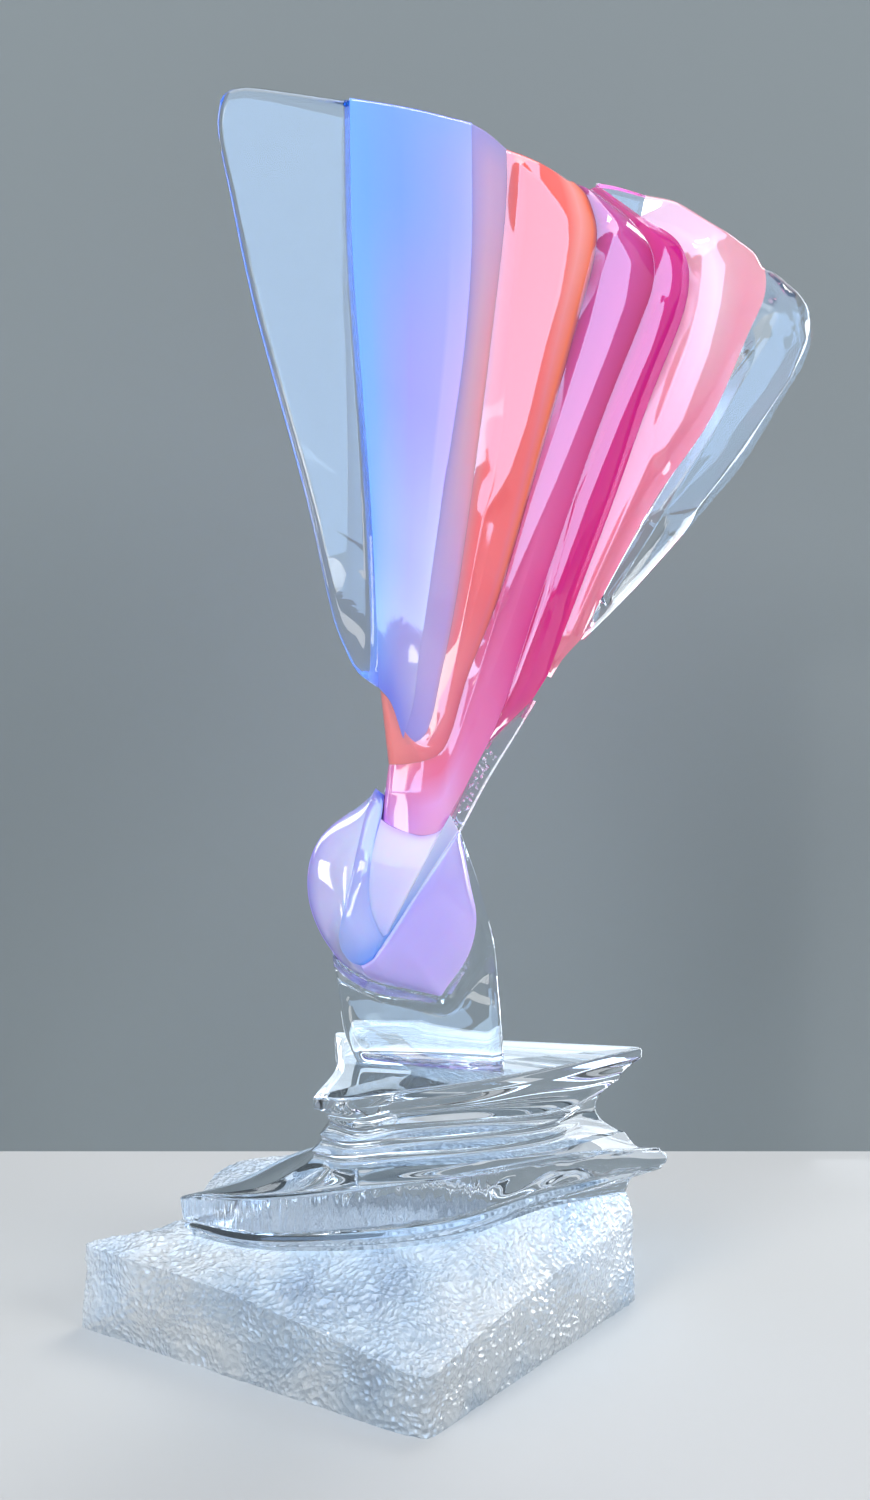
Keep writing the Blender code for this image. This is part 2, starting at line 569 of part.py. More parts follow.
def make_neck(clear, bulb):
    """A block turned a little about Z, narrower above, with the bulb's lower outline as its pocket."""
    pocket = joined(bulb["lip"][::-1], bulb["bottom"], bulb["right"])
    pocket[-1, 0] += NECK_TIP
    foot = WAIST - NECK_RISE
    fall = NECK_WIDTH / 2 * math.tan(NECK_TURN)
    sides = []
    for side, outline, end, top_depths in (
        (-1, NECK_LEFT, pocket[0], NECK_TOP_LEFT), (1, NECK_RIGHT, pocket[-1], NECK_TOP_RIGHT),
    ):
        corner = (NECK_CENTRE[0] + side * NECK_WIDTH / 2, foot)
        front = NECK_CENTRE[1] - NECK_DEPTH / 2 + side * fall
        points = [(corner[0] + x, corner[1] + z) for x, z in outline] + [tuple(end[:2])]
        rows = np.concatenate([[0, NECK_CHAMFER / NECK_RISE], even(10)[1:]])
        depths = straight(np.array([front, front + NECK_DEPTH]), np.array(top_depths), rows)
        sides.append(np.hstack([smooth_curve(points, rows), depths]))
    left, right = sides
    slab_between(
        "neck_block", clear, left, right, shares(pocket),
        top=with_outline(pocket, left[-1], right[-1], pocket[:, :2]), free=("bottom",),
        radius=NECK_CHAMFER, land=NECK_FOOT_LAND, reach=1.5,
    )


def make_bulb(violet, pale, blue):
    """The two violet lobes and the pieces of the tongue between them, whose seams the neck shares."""
    side_rows = even(BULB_ROWS - 2 * BULB_END_ROWS)
    lip = rail(BULB_SEAMS, "pocket_lip", even(BULB_LIP_ROWS))
    outer = rail(BULB_SEAMS, "bulb_left", even(BULB_ROWS - BULB_LIP_ROWS))
    tongue_left = rail(BULB_SEAMS, "tongue_left", even(BULB_ROWS))
    loop_foot = rail(BULB_SEAMS, "loop_foot", even(BULB_END_ROWS))
    loop_end = rail(BULB_SEAMS, "loop_end", even(BULB_END_ROWS))
    inner = rail(BULB_SEAMS, "tongue_inner", side_rows)
    tip = rail(BULB_SEAMS, "blue_tip", even(BULB_END_ROWS))
    right = rail(BULB_SEAMS, "tongue_right", side_rows)
    band = rail(BULB_SEAMS, "tongue_outer", side_rows)
    bottom = rail(BULB_SEAMS, "bulb_bottom", even(BULB_BOTTOM_ROWS))
    bulb_right = rail(BULB_SEAMS, "bulb_right", even(BULB_ROWS - BULB_END_ROWS - BULB_BOTTOM_ROWS))

    lobe_columns = [0, 0.04, 0.12, 0.26, 0.45, 0.7, 1]
    slab_between(
        "bulb_left_lobe", violet, joined(lip, outer), tongue_left, lobe_columns,
        free=("left",), radius=BULB_RADIUS, land=BULB_EDGE_LAND, crown=BULB_CROWN, crown_shape="dome",
    )
    drop_columns = [1 - column for column in reversed(lobe_columns)]
    slab_between(
        "bulb_right_drop", violet, joined(loop_foot, band), joined(bottom, bulb_right), drop_columns,
        free=("right",), radius=BULB_RADIUS, land=BULB_EDGE_LAND, crown=BULB_CROWN, crown_shape="dome",
    )
    slab_between(
        "stem_blue_lobe", blue, tongue_left, joined(loop_end, inner, tip), even(4),
        free=(), crown=STEM_CROWN, crown_shape="dome",
    )
    foot = np.vstack([right[:1], inner[:1], loop_end[-2::-1]])
    slab_between("stem_blue_band", blue, right, band, even(len(foot) - 1), bottom=foot, free=())
    cup = rail(FAN_SEAMS, "cup", even(HOOK_ROWS))
    top = with_outline(cup, inner[-1], right[-1], cup[:, :2])
    slab_between(
        "stem_tongue", pale, inner, right, even(HOOK_ROWS), top=top, free=(),
        crown=STEM_CROWN, crown_shape="dome",
    )
    return {"lip": lip, "bottom": bottom, "right": bulb_right}


def make_fan(paint):
    stem = with_rim_row(swayed(STEM_ROWS))
    spine_end = SPINE_ROWS
    pink_start = spine_end + SPINE_GAP_ROWS
    rim_end = len(stem) - 1
    wedge_start = rim_end - WEDGE_ROWS
    spine_rows = stretched(stem, 0, spine_end)
    wedge_rows = stretched(stem, wedge_start, rim_end)

    outer_left = rail(FAN_SEAMS, "outer_left", stem)
    clear_blue = rail(FAN_SEAMS, "clear_blue", stem)
    ridge_line = rail(FAN_SEAMS, "ridge", stem)
    blue_foot = rail(FAN_SEAMS, "blue_foot", even(FOOT_SEAM_ROWS))
    lavender_foot = rail(FAN_SEAMS, "lavender_foot", even(HOOK_ROWS - FOOT_SEAM_ROWS))
    lavender_coral = rail(FAN_SEAMS, "lavender_coral", stem)
    coral_foot = rail(FAN_SEAMS, "coral_foot", even(HOOK_ROWS))
    coral_magenta = rail(FAN_SEAMS, "coral_magenta", stem)
    cup = rail(FAN_SEAMS, "cup", even(HOOK_ROWS))
    magenta_seam = rail(FAN_SEAMS, "magenta_seam", stem)
    spine_seam = rail(FAN_SEAMS, "spine_seam", spine_rows)
    spine_gap = rail(FAN_SEAMS, "spine_gap", even(SPINE_GAP_ROWS))
    spine_outer = rail(FAN_SEAMS, "spine_outer", spine_rows)
    magenta_pink = rail(FAN_SEAMS, "magenta_pink", stretched(stem, pink_start, wedge_start))
    wedge_seam = rail(FAN_SEAMS, "wedge_seam", wedge_rows)
    wedge_end = rail(FAN_SEAMS, "wedge_end", even(WEDGE_END_ROWS))
    wedge_tip = rail(FAN_SEAMS, "wedge_tip", even(WEDGE_END_ROWS))
    pink_left = joined(magenta_pink, wedge_end)
    pink_foot = rail(FAN_SEAMS, "pink_foot", even(PINK_FOOT_ROWS))
    clear_rows = stretched(shares(pink_left), PINK_FOOT_ROWS, len(pink_left) - 1)
    pink_clear = rail(FAN_SEAMS, "pink_clear", clear_rows)
    outer_right = rail(FAN_SEAMS, "outer_right", clear_rows)

    columns = [0, 0.02, 0.06, 0.15, 0.5, 1]
    slab_between(
        "leaf_clear_left", paint["clear"], outer_left, clear_blue, columns,
        top=rim("clear_left", outer_left, clear_blue, columns), free=("left", "top"),
    )
    columns = even(FOOT_SEAM_ROWS)
    slab_between(
        "leaf_sky_blue", paint["sky_blue"], clear_blue, ridge_line, columns,
        bottom=blue_foot, top=rim("sky_blue", clear_blue, ridge_line, columns),
    )
    columns = even(HOOK_ROWS - FOOT_SEAM_ROWS)
    slab_between(
        "leaf_lavender", paint["lavender"], ridge_line, lavender_coral, columns,
        bottom=lavender_foot, top=rim("lavender", ridge_line, lavender_coral, columns),
    )
    leaf_columns = [0, 0.10, 0.24, 0.43, 0.62, 0.84, 1]
    left = joined(blue_foot, lavender_foot, lavender_coral)
    middle = joined(coral_foot, coral_magenta)
    slab_between(
        "leaf_coral", paint["coral"], left, middle, leaf_columns,
        top=rim("coral", left, middle, leaf_columns), free=("bottom", "top"), crown=LEAF_CROWN,
    )
    slab_between(
        "leaf_magenta_front", paint["magenta"], middle, joined(cup, magenta_seam), leaf_columns,
        free=("bottom", "top"), crown=LEAF_CROWN,
    )
    slab_between(
        "leaf_magenta_rear", paint["magenta"], magenta_seam,
        joined(spine_seam, spine_gap, magenta_pink, wedge_seam), leaf_columns, crown=LEAF_CROWN,
    )
    slab_between(
        "waist_spine", paint["clear"], spine_seam, spine_outer, [0, 0.5, 0.8, 1], free=("right",),
        radius=SPINE_RADIUS,
    )
    columns = 1 - wedge_rows[::-1]
    slab_between(
        "rim_clear_wedge", paint["clear"], wedge_tip, wedge_end, columns,
        bottom=wedge_seam[::-1], top=rim("wedge", wedge_tip, wedge_end, columns),
    )
    right = joined(pink_foot, pink_clear)
    slab_between(
        "leaf_pink", paint["pink"], pink_left, right, leaf_columns,
        top=rim("pink", pink_left, right, leaf_columns), crown=LEAF_CROWN,
    )
    columns = [0, 0.15, 0.35, 0.6, 0.82, 0.93, 1]
    slab_between(
        "leaf_clear_right", paint["clear"], pink_clear, outer_right, columns,
        top=rim("clear_right", pink_clear, outer_right, columns), free=("right", "top"),
        crown=LEAF_CROWN, crown_shape="dome",
    )


def main():
    for old in list(bpy.data.objects):
        bpy.data.objects.remove(old, do_unlink=True)
    paint = {
        "clear": make_material("clear_acrylic", (0.86, 0.92, 0.95), transmission=1.0),
        "frosted": make_material("frosted_acrylic", (0.62, 0.68, 0.76), roughness=0.45),
        "sky_blue": make_material("sky_blue_acrylic", (0.16, 0.42, 0.95)),
        "lavender": make_material("lavender_acrylic", (0.48, 0.40, 0.86)),
        "coral": make_material("coral_acrylic", (0.86, 0.20, 0.18)),
        "magenta": make_material("magenta_acrylic", (0.72, 0.05, 0.36)),
        "pink": make_material("pink_acrylic", (0.86, 0.28, 0.38)),
        "violet": make_material("violet_acrylic", (0.40, 0.32, 0.92)),
        "pale": make_material("pale_lavender_acrylic", (0.55, 0.50, 0.96)),
        "blue": make_material("blue_acrylic", (0.15, 0.32, 0.90)),
    }
    make_block(paint["clear"], paint["frosted"])
    bulb = make_bulb(paint["violet"], paint["pale"], paint["blue"])
    make_neck(paint["clear"], bulb)
    make_fan(paint)


main()
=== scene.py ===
# Studio picture of a laminated acrylic sculpture: a fan of dyed and clear leaves, a violet bulb, a clear neck
# and a carved clear block with a hammered foot. Metres, where nothing else is said. The fan faces -Y.

import math
import random

import bpy
import numpy as np
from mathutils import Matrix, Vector, noise


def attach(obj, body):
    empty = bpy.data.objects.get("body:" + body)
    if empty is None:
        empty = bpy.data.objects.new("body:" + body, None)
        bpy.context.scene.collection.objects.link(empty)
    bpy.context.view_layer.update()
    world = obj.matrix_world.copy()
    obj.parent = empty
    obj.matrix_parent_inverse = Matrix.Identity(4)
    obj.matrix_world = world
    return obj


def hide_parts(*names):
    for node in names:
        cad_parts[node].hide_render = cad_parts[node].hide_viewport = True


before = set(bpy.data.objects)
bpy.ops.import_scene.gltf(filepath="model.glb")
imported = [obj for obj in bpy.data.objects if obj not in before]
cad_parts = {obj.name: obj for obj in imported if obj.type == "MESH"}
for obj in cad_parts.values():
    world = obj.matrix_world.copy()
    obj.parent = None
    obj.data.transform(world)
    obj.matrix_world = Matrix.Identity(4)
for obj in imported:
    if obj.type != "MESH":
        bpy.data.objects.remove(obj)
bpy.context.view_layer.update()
print("frame loaded:", len(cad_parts), "solids")


# Small tools

def hexLinear(code):
    values = [int(code[i : i + 2], 16) / 255 for i in (1, 3, 5)]
    linear = [v / 12.92 if v <= 0.04045 else ((v + 0.055) / 1.055) ** 2.4 for v in values]
    return (*linear, 1.0)


# One shader node with its settings and what feeds its sockets: an output, or a node for its first output.
def addNode(tree, kind, settings=None, links=None):
    node = tree.nodes.new("ShaderNode" + kind)
    for name, value in (settings or {}).items():
        if name == "stops":
            ramp = node.color_ramp
            while len(ramp.elements) < len(value):
                ramp.elements.new(0.5)
            for element, (position, code) in zip(ramp.elements, value.items()):
                element.position = position
                element.color = hexLinear(code)
        elif isinstance(name, int) or name in node.inputs:
            node.inputs[name].default_value = value
        else:
            setattr(node, name, value)
    for name, source in (links or {}).items():
        socket = source.outputs[0] if isinstance(source, bpy.types.Node) else source
        tree.links.new(socket, node.inputs[name])
    return node


def newMaterial(name):
    material = bpy.data.materials.new(name)
    material.use_nodes = True
    tree = material.node_tree
    tree.nodes.clear()
    return material, tree


# A point between b and c, for single points or for whole rings of them.
def catmull(a, b, c, d, u):
    t = [0.0]
    for p, q in ((a, b), (b, c), (c, d)):
        step = np.linalg.norm(np.atleast_2d(q - p), axis=1).mean()
        t.append(t[-1] + max(float(step), 1e-9) ** 0.5)
    at = t[1] + (t[2] - t[1]) * u

    def blend(p, q, start, end):
        share = (at - start) / (end - start)
        return (1 - share) * p + share * q

    low, middle, high = blend(a, b, t[0], t[1]), blend(b, c, t[1], t[2]), blend(c, d, t[2], t[3])
    return blend(blend(low, middle, t[0], t[2]), blend(middle, high, t[1], t[3]), t[1], t[2])


def lengthShares(points):
    steps = np.linalg.norm(np.diff(points[:, :2], axis=0), axis=1)
    run = np.concatenate([[0], np.cumsum(steps)])
    return run / run[-1]


# The polyline's points, all columns, at these shares of its length.
def atShares(points, shares):
    own = lengthShares(points)
    return np.column_stack([np.interp(shares, own, column) for column in points.T])


curveSteps = 16


# A smooth curve through the points, at these shares of its length.
def smoothCurve(points, shares):
    points = np.array(points, float)
    ends = np.vstack([2 * points[0] - points[1], points, 2 * points[-1] - points[-2]])
    dense = [
        catmull(a, b, c, d, step / curveSteps)
        for a, b, c, d in zip(ends, ends[1:], ends[2:], ends[3:]) for step in range(curveSteps)
    ]
    return atShares(np.array(dense + [points[-1]]), shares)


# Evenly spread values, joined without kinks.
def smoothValues(values, shares):
    values = np.array(values, float)
    place = np.clip(np.array(shares) * (len(values) - 1), 0, len(values) - 1 - 1e-9)
    i = place.astype(int)
    t = place - i
    slope = np.gradient(values)
    h = (2 * t**3 - 3 * t**2 + 1, t**3 - 2 * t**2 + t, 3 * t**2 - 2 * t**3, t**3 - t**2)
    return h[0] * values[i] + h[1] * slope[i] + h[2] * values[i + 1] + h[3] * slope[i + 1]


def even(count):
    return np.linspace(0, 1, count + 1)


# Shares that lie closer together at both ends.
def swayed(count, sway=0.11):
    return even(count) - sway * np.sin(2 * math.pi * even(count))


def unit(vectors):
    return vectors / np.maximum(np.linalg.norm(vectors, axis=-1, keepdims=True), 1e-12)


# How far each flat point lies from a path of straight runs.
def distanceTo(points, path):
    nearest = np.full(len(points), 1e9)
    for a, b in zip(path, path[1:]):
        run = b - a
        t = np.clip(((points - a) @ run) / max(run @ run, 1e-12), 0, 1)
        nearest = np.minimum(nearest, np.linalg.norm(points - a - t[:, None] * run, axis=1))
    return nearest


def isInside(points, outline):
    x, z = points.T
    odd = np.zeros(len(points), bool)
    for (ax, az), (bx, bz) in zip(outline, np.roll(outline, -1, axis=0)):
        crosses = (az > z) != (bz > z)
        at = ax + (z - az) * (bx - ax) / (bz - az if bz != az else 1e-12)
        odd ^= crosses & (x < at)
    return odd


def addPiece(name, points, faces, material, uv=None, sharpAngle=40):
    mesh = bpy.data.meshes.new(name)
    mesh.from_pydata(np.asarray(points, float).tolist(), [], faces)
    if uv is not None:
        layer = mesh.uv_layers.new(name="across")
        corners = np.zeros(len(mesh.loops), np.int64)
        mesh.loops.foreach_get("vertex_index", corners)
        layer.data.foreach_set("uv", np.asarray(uv, float)[corners].ravel())
    mesh.shade_smooth()
    mesh.set_sharp_from_angle(angle=math.radians(sharpAngle))
    for one in material if isinstance(material, list) else [material]:
        mesh.materials.append(one)
    piece = bpy.data.objects.new(name, mesh)
    bpy.context.scene.collection.objects.link(piece)
    return piece


# Camera: at the photograph's viewer, who looks almost level from a little above the waist

view = {"place": (0, -0.726, 0.330), "pitch": 90 - 0.353, "lens": 31.2, "sensor": 36}

cameraData = bpy.data.cameras.new("camera")
cameraData.lens = view["lens"]
cameraData.sensor_height = view["sensor"]
cameraData.sensor_width = view["sensor"]
cameraData.sensor_fit = "VERTICAL"
camera = bpy.data.objects.new("camera", cameraData)
camera.location = view["place"]
camera.rotation_euler = (math.radians(view["pitch"]), 0, 0)
bpy.context.scene.collection.objects.link(camera)
bpy.context.scene.camera = camera


# Stage: pale floor and backdrop, soft lamps, and cards that only gloss and clear acrylic show

stage = {
    "floorColour": "#b2b4b5", "backdropColour": "#7d8588", "worldColour": "#e9eef2", "worldStrength": 0.55,
    "floorHalf": 6.0, "backdropY": 0.32, "backdropHeight": 6.0, "glowY": 0.30,
    "cardRadius": 2.0, "cardSteps": 48,
}
lamps = {
    "key": {"power": 60, "place": (-1.5, -1.7, 2.3), "size": 1.4},
    "fill": {"power": 34, "place": (2.0, -1.2, 1.4), "size": 1.2},
    "back": {"power": 30, "place": (0.6, 1.2, 2.2), "size": 1.2},
}
lampAim = (0, 0, 0.35)
skyColour = (2.9, 4.3, 6.5)
stripColour = (6, 6.3, 6.6)
windowColour = (7, 6.9, 6.6)
flagColour = (0.07, 0.08, 0.09)
lowGlowColour = (6, 6.4, 6.8)

# Cards bent round the sculpture. The span is in degrees from straight before it to the viewer's right. Flags
# are dark, all others bright.
cards = {
    "sky card, middle left": {"colour": skyColour, "span": (-24, -9), "rise": (0.36, 4.0), "ragged": 0.012},
    "sky card, middle": {"colour": skyColour, "span": (-9, 16), "rise": (0.90, 3.4)},
    "sky card, right": {"colour": skyColour, "span": (16, 50), "rise": (0.52, 3.4), "ragged": 0.012},
    "sky card, far left": {"colour": skyColour, "span": (-30, -24), "rise": (1.15, 4.0)},
    "sky card, outer left": {"colour": skyColour, "span": (-52, -30), "rise": (1.18, 4.0)},
    "clear leaf card": {"colour": skyColour, "span": (-34, -24), "rise": (0.34, 0.58), "ragged": 0.012},
    "neck card": {"colour": (4.6, 6.6, 9.0), "span": (-32.5, -21), "rise": (0.80, 1.15), "radius": 1.98},
    "waist window, upper": {"colour": windowColour, "span": (-46, -27), "rise": (0.5, 0.76), "radius": 1.97},
    "waist window, lower": {"colour": windowColour, "span": (-46, -27), "rise": (0.09, 0.23), "radius": 1.97},
    "glint card": {"colour": (40, 40, 40), "span": (-12, 2), "rise": (1.9, 2.15), "radius": 1.2},
    "lobe window, outer": {"colour": windowColour, "span": (-98, -90), "rise": (0.18, 0.62)},
    "lobe window, inner": {"colour": windowColour, "span": (-74, -67), "rise": (0.34, 0.62)},
    "left strip": {"colour": stripColour, "span": (-118, -108), "rise": (0.5, 1.0), "radius": 0.6},
    "right strip": {"colour": stripColour, "span": (106, 118), "rise": (0.0, 1.2), "radius": 0.6},
    "left flag": {"colour": flagColour, "span": (-88, -78), "rise": (0.0, 1.4), "radius": 0.9},
    "right flag": {"colour": flagColour, "span": (84, 96), "rise": (0.0, 1.4), "radius": 0.9},
}
# Flat bright boards close before the backdrop. Those off to the sides reach steep edges, and the last two are
# what the block's flat top mirrors.
glows = {
    "low glow, left": {"colour": lowGlowColour, "reach": (-0.62, -0.3), "rise": (0, 0.4), "mirrored": False},
    "low glow, right": {"colour": lowGlowColour, "reach": (0.3, 0.62), "rise": (0, 0.4)},
    "high glow, left": {"colour": (4.4, 4.7, 5.0), "reach": (-0.8, -0.44), "rise": (0.4, 1.1)},
    "top face glow": {
        "colour": (1.5, 1.75, 2.0), "reach": (-0.13, 0.19), "rise": (0.15, 0.3), "passed": False},
    "neck foot glow": {"colour": (2.2, 2.6, 3.0), "reach": (-0.11, -0.01), "rise": (0.212, 0.262)},
}
topCard = {"colour": (4.5, 5.2, 6.2), "half": 1.1, "nearY": -1.6, "farY": 0.2, "height": 2.6}


def addStageMesh(name, points, faces, material):
    mesh = bpy.data.meshes.new(name)
    mesh.from_pydata(points, [], faces)
    mesh.shade_smooth()
    mesh.materials.append(material)
    piece = bpy.data.objects.new(name, mesh)
    bpy.context.scene.collection.objects.link(piece)
    return piece


# Matt painted board: even and dull. A one-sided board is clear from its rear, so that it hides nothing in a
# view from behind.
def paintedBoard(name, colour, oneSided=False):
    material, tree = newMaterial(name)
    shader = addNode(tree, "BsdfPrincipled", {
        "Base Color": hexLinear(colour), "Roughness": 0.9, "Specular IOR Level": 0.1})
    if oneSided:
        turned = addNode(tree, "NewGeometry")
        clear = addNode(tree, "BsdfTransparent")
        shader = addNode(tree, "MixShader", {}, {0: turned.outputs["Backfacing"], 1: shader, 2: clear})
    addNode(tree, "OutputMaterial", {}, {"Surface": shader})
    return material


# A card with an even colour of its own. It shows in gloss and in clear acrylic, and lights nothing else.
def addCard(name, points, faces, colour):
    material, tree = newMaterial(name)
    glow = addNode(tree, "Emission", {"Color": (*colour, 1.0), "Strength": 1.0})
    addNode(tree, "OutputMaterial", {}, {"Surface": glow})
    piece = addStageMesh(name, points, faces, material)
    piece.visible_diffuse = False
    piece.visible_camera = False
    piece.visible_shadow = False
    return piece


def bentCard(card):
    start, end = card["span"]
    low, high = card["rise"]
    radius, count = card.get("radius", stage["cardRadius"]), stage["cardSteps"]
    points = []
    for i in range(count + 1):
        angle = math.radians(start + (end - start) * i / count)
        x, y = radius * math.sin(angle), -radius * math.cos(angle)
        # a ragged lower edge, like treetops before the sky
        lift = card.get("ragged", 0) * (math.sin(7.3 * i) + math.sin(2.1 * i + 1.0) + math.sin(0.6 * i))
        points += [(x, y, low + lift), (x, y, high)]
    return points, [(2 * i, 2 * i + 2, 2 * i + 3, 2 * i + 1) for i in range(count)]


def buildStage():
    half = stage["floorHalf"]
    edge, top = stage["backdropY"], stage["backdropHeight"]
    quad = [(0, 1, 2, 3)]
    floor = [(-half, -half, 0), (half, -half, 0), (half, half, 0), (-half, half, 0)]
    addStageMesh("floor", floor, quad, paintedBoard("pale floor paint", stage["floorColour"]))
    wall = [(-half, edge, 0), (half, edge, 0), (half, edge, top), (-half, edge, top)]
    paint = paintedBoard("grey backdrop paint", stage["backdropColour"], oneSided=True)
    board = addStageMesh("backdrop", wall, quad, paint)
    board.visible_diffuse = False
    board.visible_shadow = False
    for name, card in cards.items():
        piece = addCard(name, *bentCard(card), card["colour"])
        # strips and windows show in gloss only
        piece.visible_transmission = "strip" not in name and "window" not in name
    for name, glow in glows.items():
        (x0, x1), (low, high), y = glow["reach"], glow["rise"], stage["glowY"]
        corners = [(x0, y, low), (x1, y, low), (x1, y, high), (x0, y, high)]
        piece = addCard(name, corners, quad, glow["colour"])
        piece.visible_glossy = glow.get("mirrored", True)
        piece.visible_transmission = glow.get("passed", True)
    near, far, z, half = topCard["nearY"], topCard["farY"], topCard["height"], topCard["half"]
    corners = [(-half, near, z), (half, near, z), (half, far, z), (-half, far, z)]
    addCard("top card", corners, quad, topCard["colour"])
    for name, lamp in lamps.items():
        data = bpy.data.lights.new(name, "AREA")
        data.shape = "DISK"
        data.energy = lamp["power"]
        data.size = lamp["size"]
        piece = bpy.data.objects.new(name, data)
        piece.location = lamp["place"]
        aim = Vector(lampAim) - piece.location
        piece.rotation_euler = aim.to_track_quat("-Z", "Y").to_euler()
        piece.visible_glossy = False
        bpy.context.scene.collection.objects.link(piece)
    world = bpy.data.worlds.new("studio")
    world.use_nodes = True
    background = world.node_tree.nodes["Background"]
    background.inputs["Color"].default_value = hexLinear(stage["worldColour"])
    background.inputs["Strength"].default_value = stage["worldStrength"]
    bpy.context.scene.world = world
    bpy.context.scene.view_settings.view_transform = "Standard"


buildStage()
print("stage built")


# Materials


acrylicIndex = 1.49
# The dye drifts: waves about 36 mm wide, drawn out upright, shift its colours by a share of the leaf's width.
dyeDrift = {"scale": 28.0, "upright": (1, 1, 0.12), "reach": 0.05}


# Colour from the leaf's own two directions: a row of colours across it at several heights.
def acrossRamps(tree, levels):
    uv = addNode(tree, "UVMap", {"uv_map": "across"})
    place = addNode(tree, "SeparateXYZ", {}, {"Vector": uv})
    surface = addNode(tree, "TexCoord").outputs["Object"]
    stretch = addNode(tree, "Mapping", {"Scale": dyeDrift["upright"]}, {"Vector": surface})
    drift = addNode(tree, "TexNoise", {"Scale": dyeDrift["scale"], "Detail": 2.0}, {"Vector": stretch})
    reach = dyeDrift["reach"]
    shift = addNode(tree, "MapRange", {"To Min": -reach, "To Max": reach}, {"Value": drift})
    across = addNode(tree, "Math", {"operation": "ADD"}, {0: place.outputs["X"], 1: shift})
    colour = below = None
    for height, stops in levels.items():
        ramp = addNode(tree, "ValToRGB", {"stops": stops}, {"Fac": across})
        if colour is None:
            colour = ramp
        else:
            share = addNode(tree, "MapRange",
                            {"From Min": below, "From Max": height, "interpolation_type": "SMOOTHSTEP"},
                            {"Value": place.outputs["Y"]})
            mixed = addNode(tree, "Mix", {"data_type": "RGBA"}, {0: share, 6: colour, 7: ramp})
            colour = mixed.outputs[2]
        below = height
    return colour


# Hand polishing leaves slow waves that make a reflection's edge sway.
def polishWaves(tree, millimetres, depth):
    surface = addNode(tree, "TexCoord").outputs["Object"]
    waves = addNode(tree, "TexNoise", {"Scale": 1000 / millimetres, "Detail": 1.5}, {"Vector": surface})
    return addNode(tree, "Bump", {"Strength": 1.0, "Distance": depth}, {"Height": waves})


# Dyed cast acrylic, buffed to a shine: the colour glows from inside under a wet, mirror-like skin.
def dyedAcrylic(name, levels, scatter=0.2, clarity=0.0, coat=1.0, specular=0.5):
    material, tree = newMaterial(name)
    shader = addNode(tree, "BsdfPrincipled", {
        "Roughness": 0.06, "IOR": acrylicIndex, "Specular IOR Level": specular,
        "Coat Weight": coat, "Coat Roughness": 0.015, "Coat IOR": acrylicIndex,
        "Subsurface Weight": scatter, "Subsurface Scale": 0.01, "Transmission Weight": clarity,
    }, {
        "Base Color": acrossRamps(tree, levels), "Normal": polishWaves(tree, 45, 0.00018),
        "Coat Normal": polishWaves(tree, 60, 0.00012),
    })
    addNode(tree, "OutputMaterial", {}, {"Surface": shader})
    return material


# Lamplight passes through undyed acrylic, so that what lies under and behind it is lit too.
def letLampsThrough(tree, shader, passed="#e2ebf1"):
    path = addNode(tree, "LightPath")
    passing = addNode(tree, "BsdfTransparent", {"Color": hexLinear(passed)})
    both = addNode(tree, "MixShader", {}, {0: path.outputs["Is Shadow Ray"], 1: shader, 2: passing})
    addNode(tree, "OutputMaterial", {}, {"Surface": both})


# Clear cast acrylic, flame and wheel polished: water-clear with bright edges.
def clearAcrylic(name, waveDepth=0.0003):
    material, tree = newMaterial(name)
    shader = addNode(tree, "BsdfPrincipled", {
        "Base Color": hexLinear("#f4f9fd"), "Roughness": 0.0, "IOR": acrylicIndex,
        "Transmission Weight": 1.0}, {"Normal": polishWaves(tree, 50, waveDepth)})
    letLampsThrough(tree, shader)
    return material


# Clear acrylic with upright saw marks, about 5 mm apart, softened by the polish: it breaks what lies behind
# into streaks.
def sawnAcrylic(name):
    material, tree = newMaterial(name)
    surface = addNode(tree, "TexCoord").outputs["Object"]
    upright = addNode(tree, "Mapping", {"Scale": (1, 1, 0.1)}, {"Vector": surface})
    marks = addNode(tree, "TexNoise", {"Scale": 1000 / 5, "Detail": 2.0}, {"Vector": upright})
    bump = addNode(tree, "Bump", {"Strength": 1.0, "Distance": 0.003}, {"Height": marks})
    shader = addNode(tree, "BsdfPrincipled", {
        "Base Color": hexLinear("#e6edf5"), "Roughness": 0.0, "IOR": acrylicIndex,
        "Transmission Weight": 0.92}, {"Normal": bump})
    letLampsThrough(tree, shader)
    return material


# A wide patch of the foot, below the middle of the shelf, has its ice tones painted darker than the rest:
# painted shade under the shelf.
shadedPatchUnderShelf = {
    "narrowed": (0.42, 1, 1), "place": (-0.022, -0.050, 0.054), "near": 0.008, "far": 0.040, "tone": 0.5}


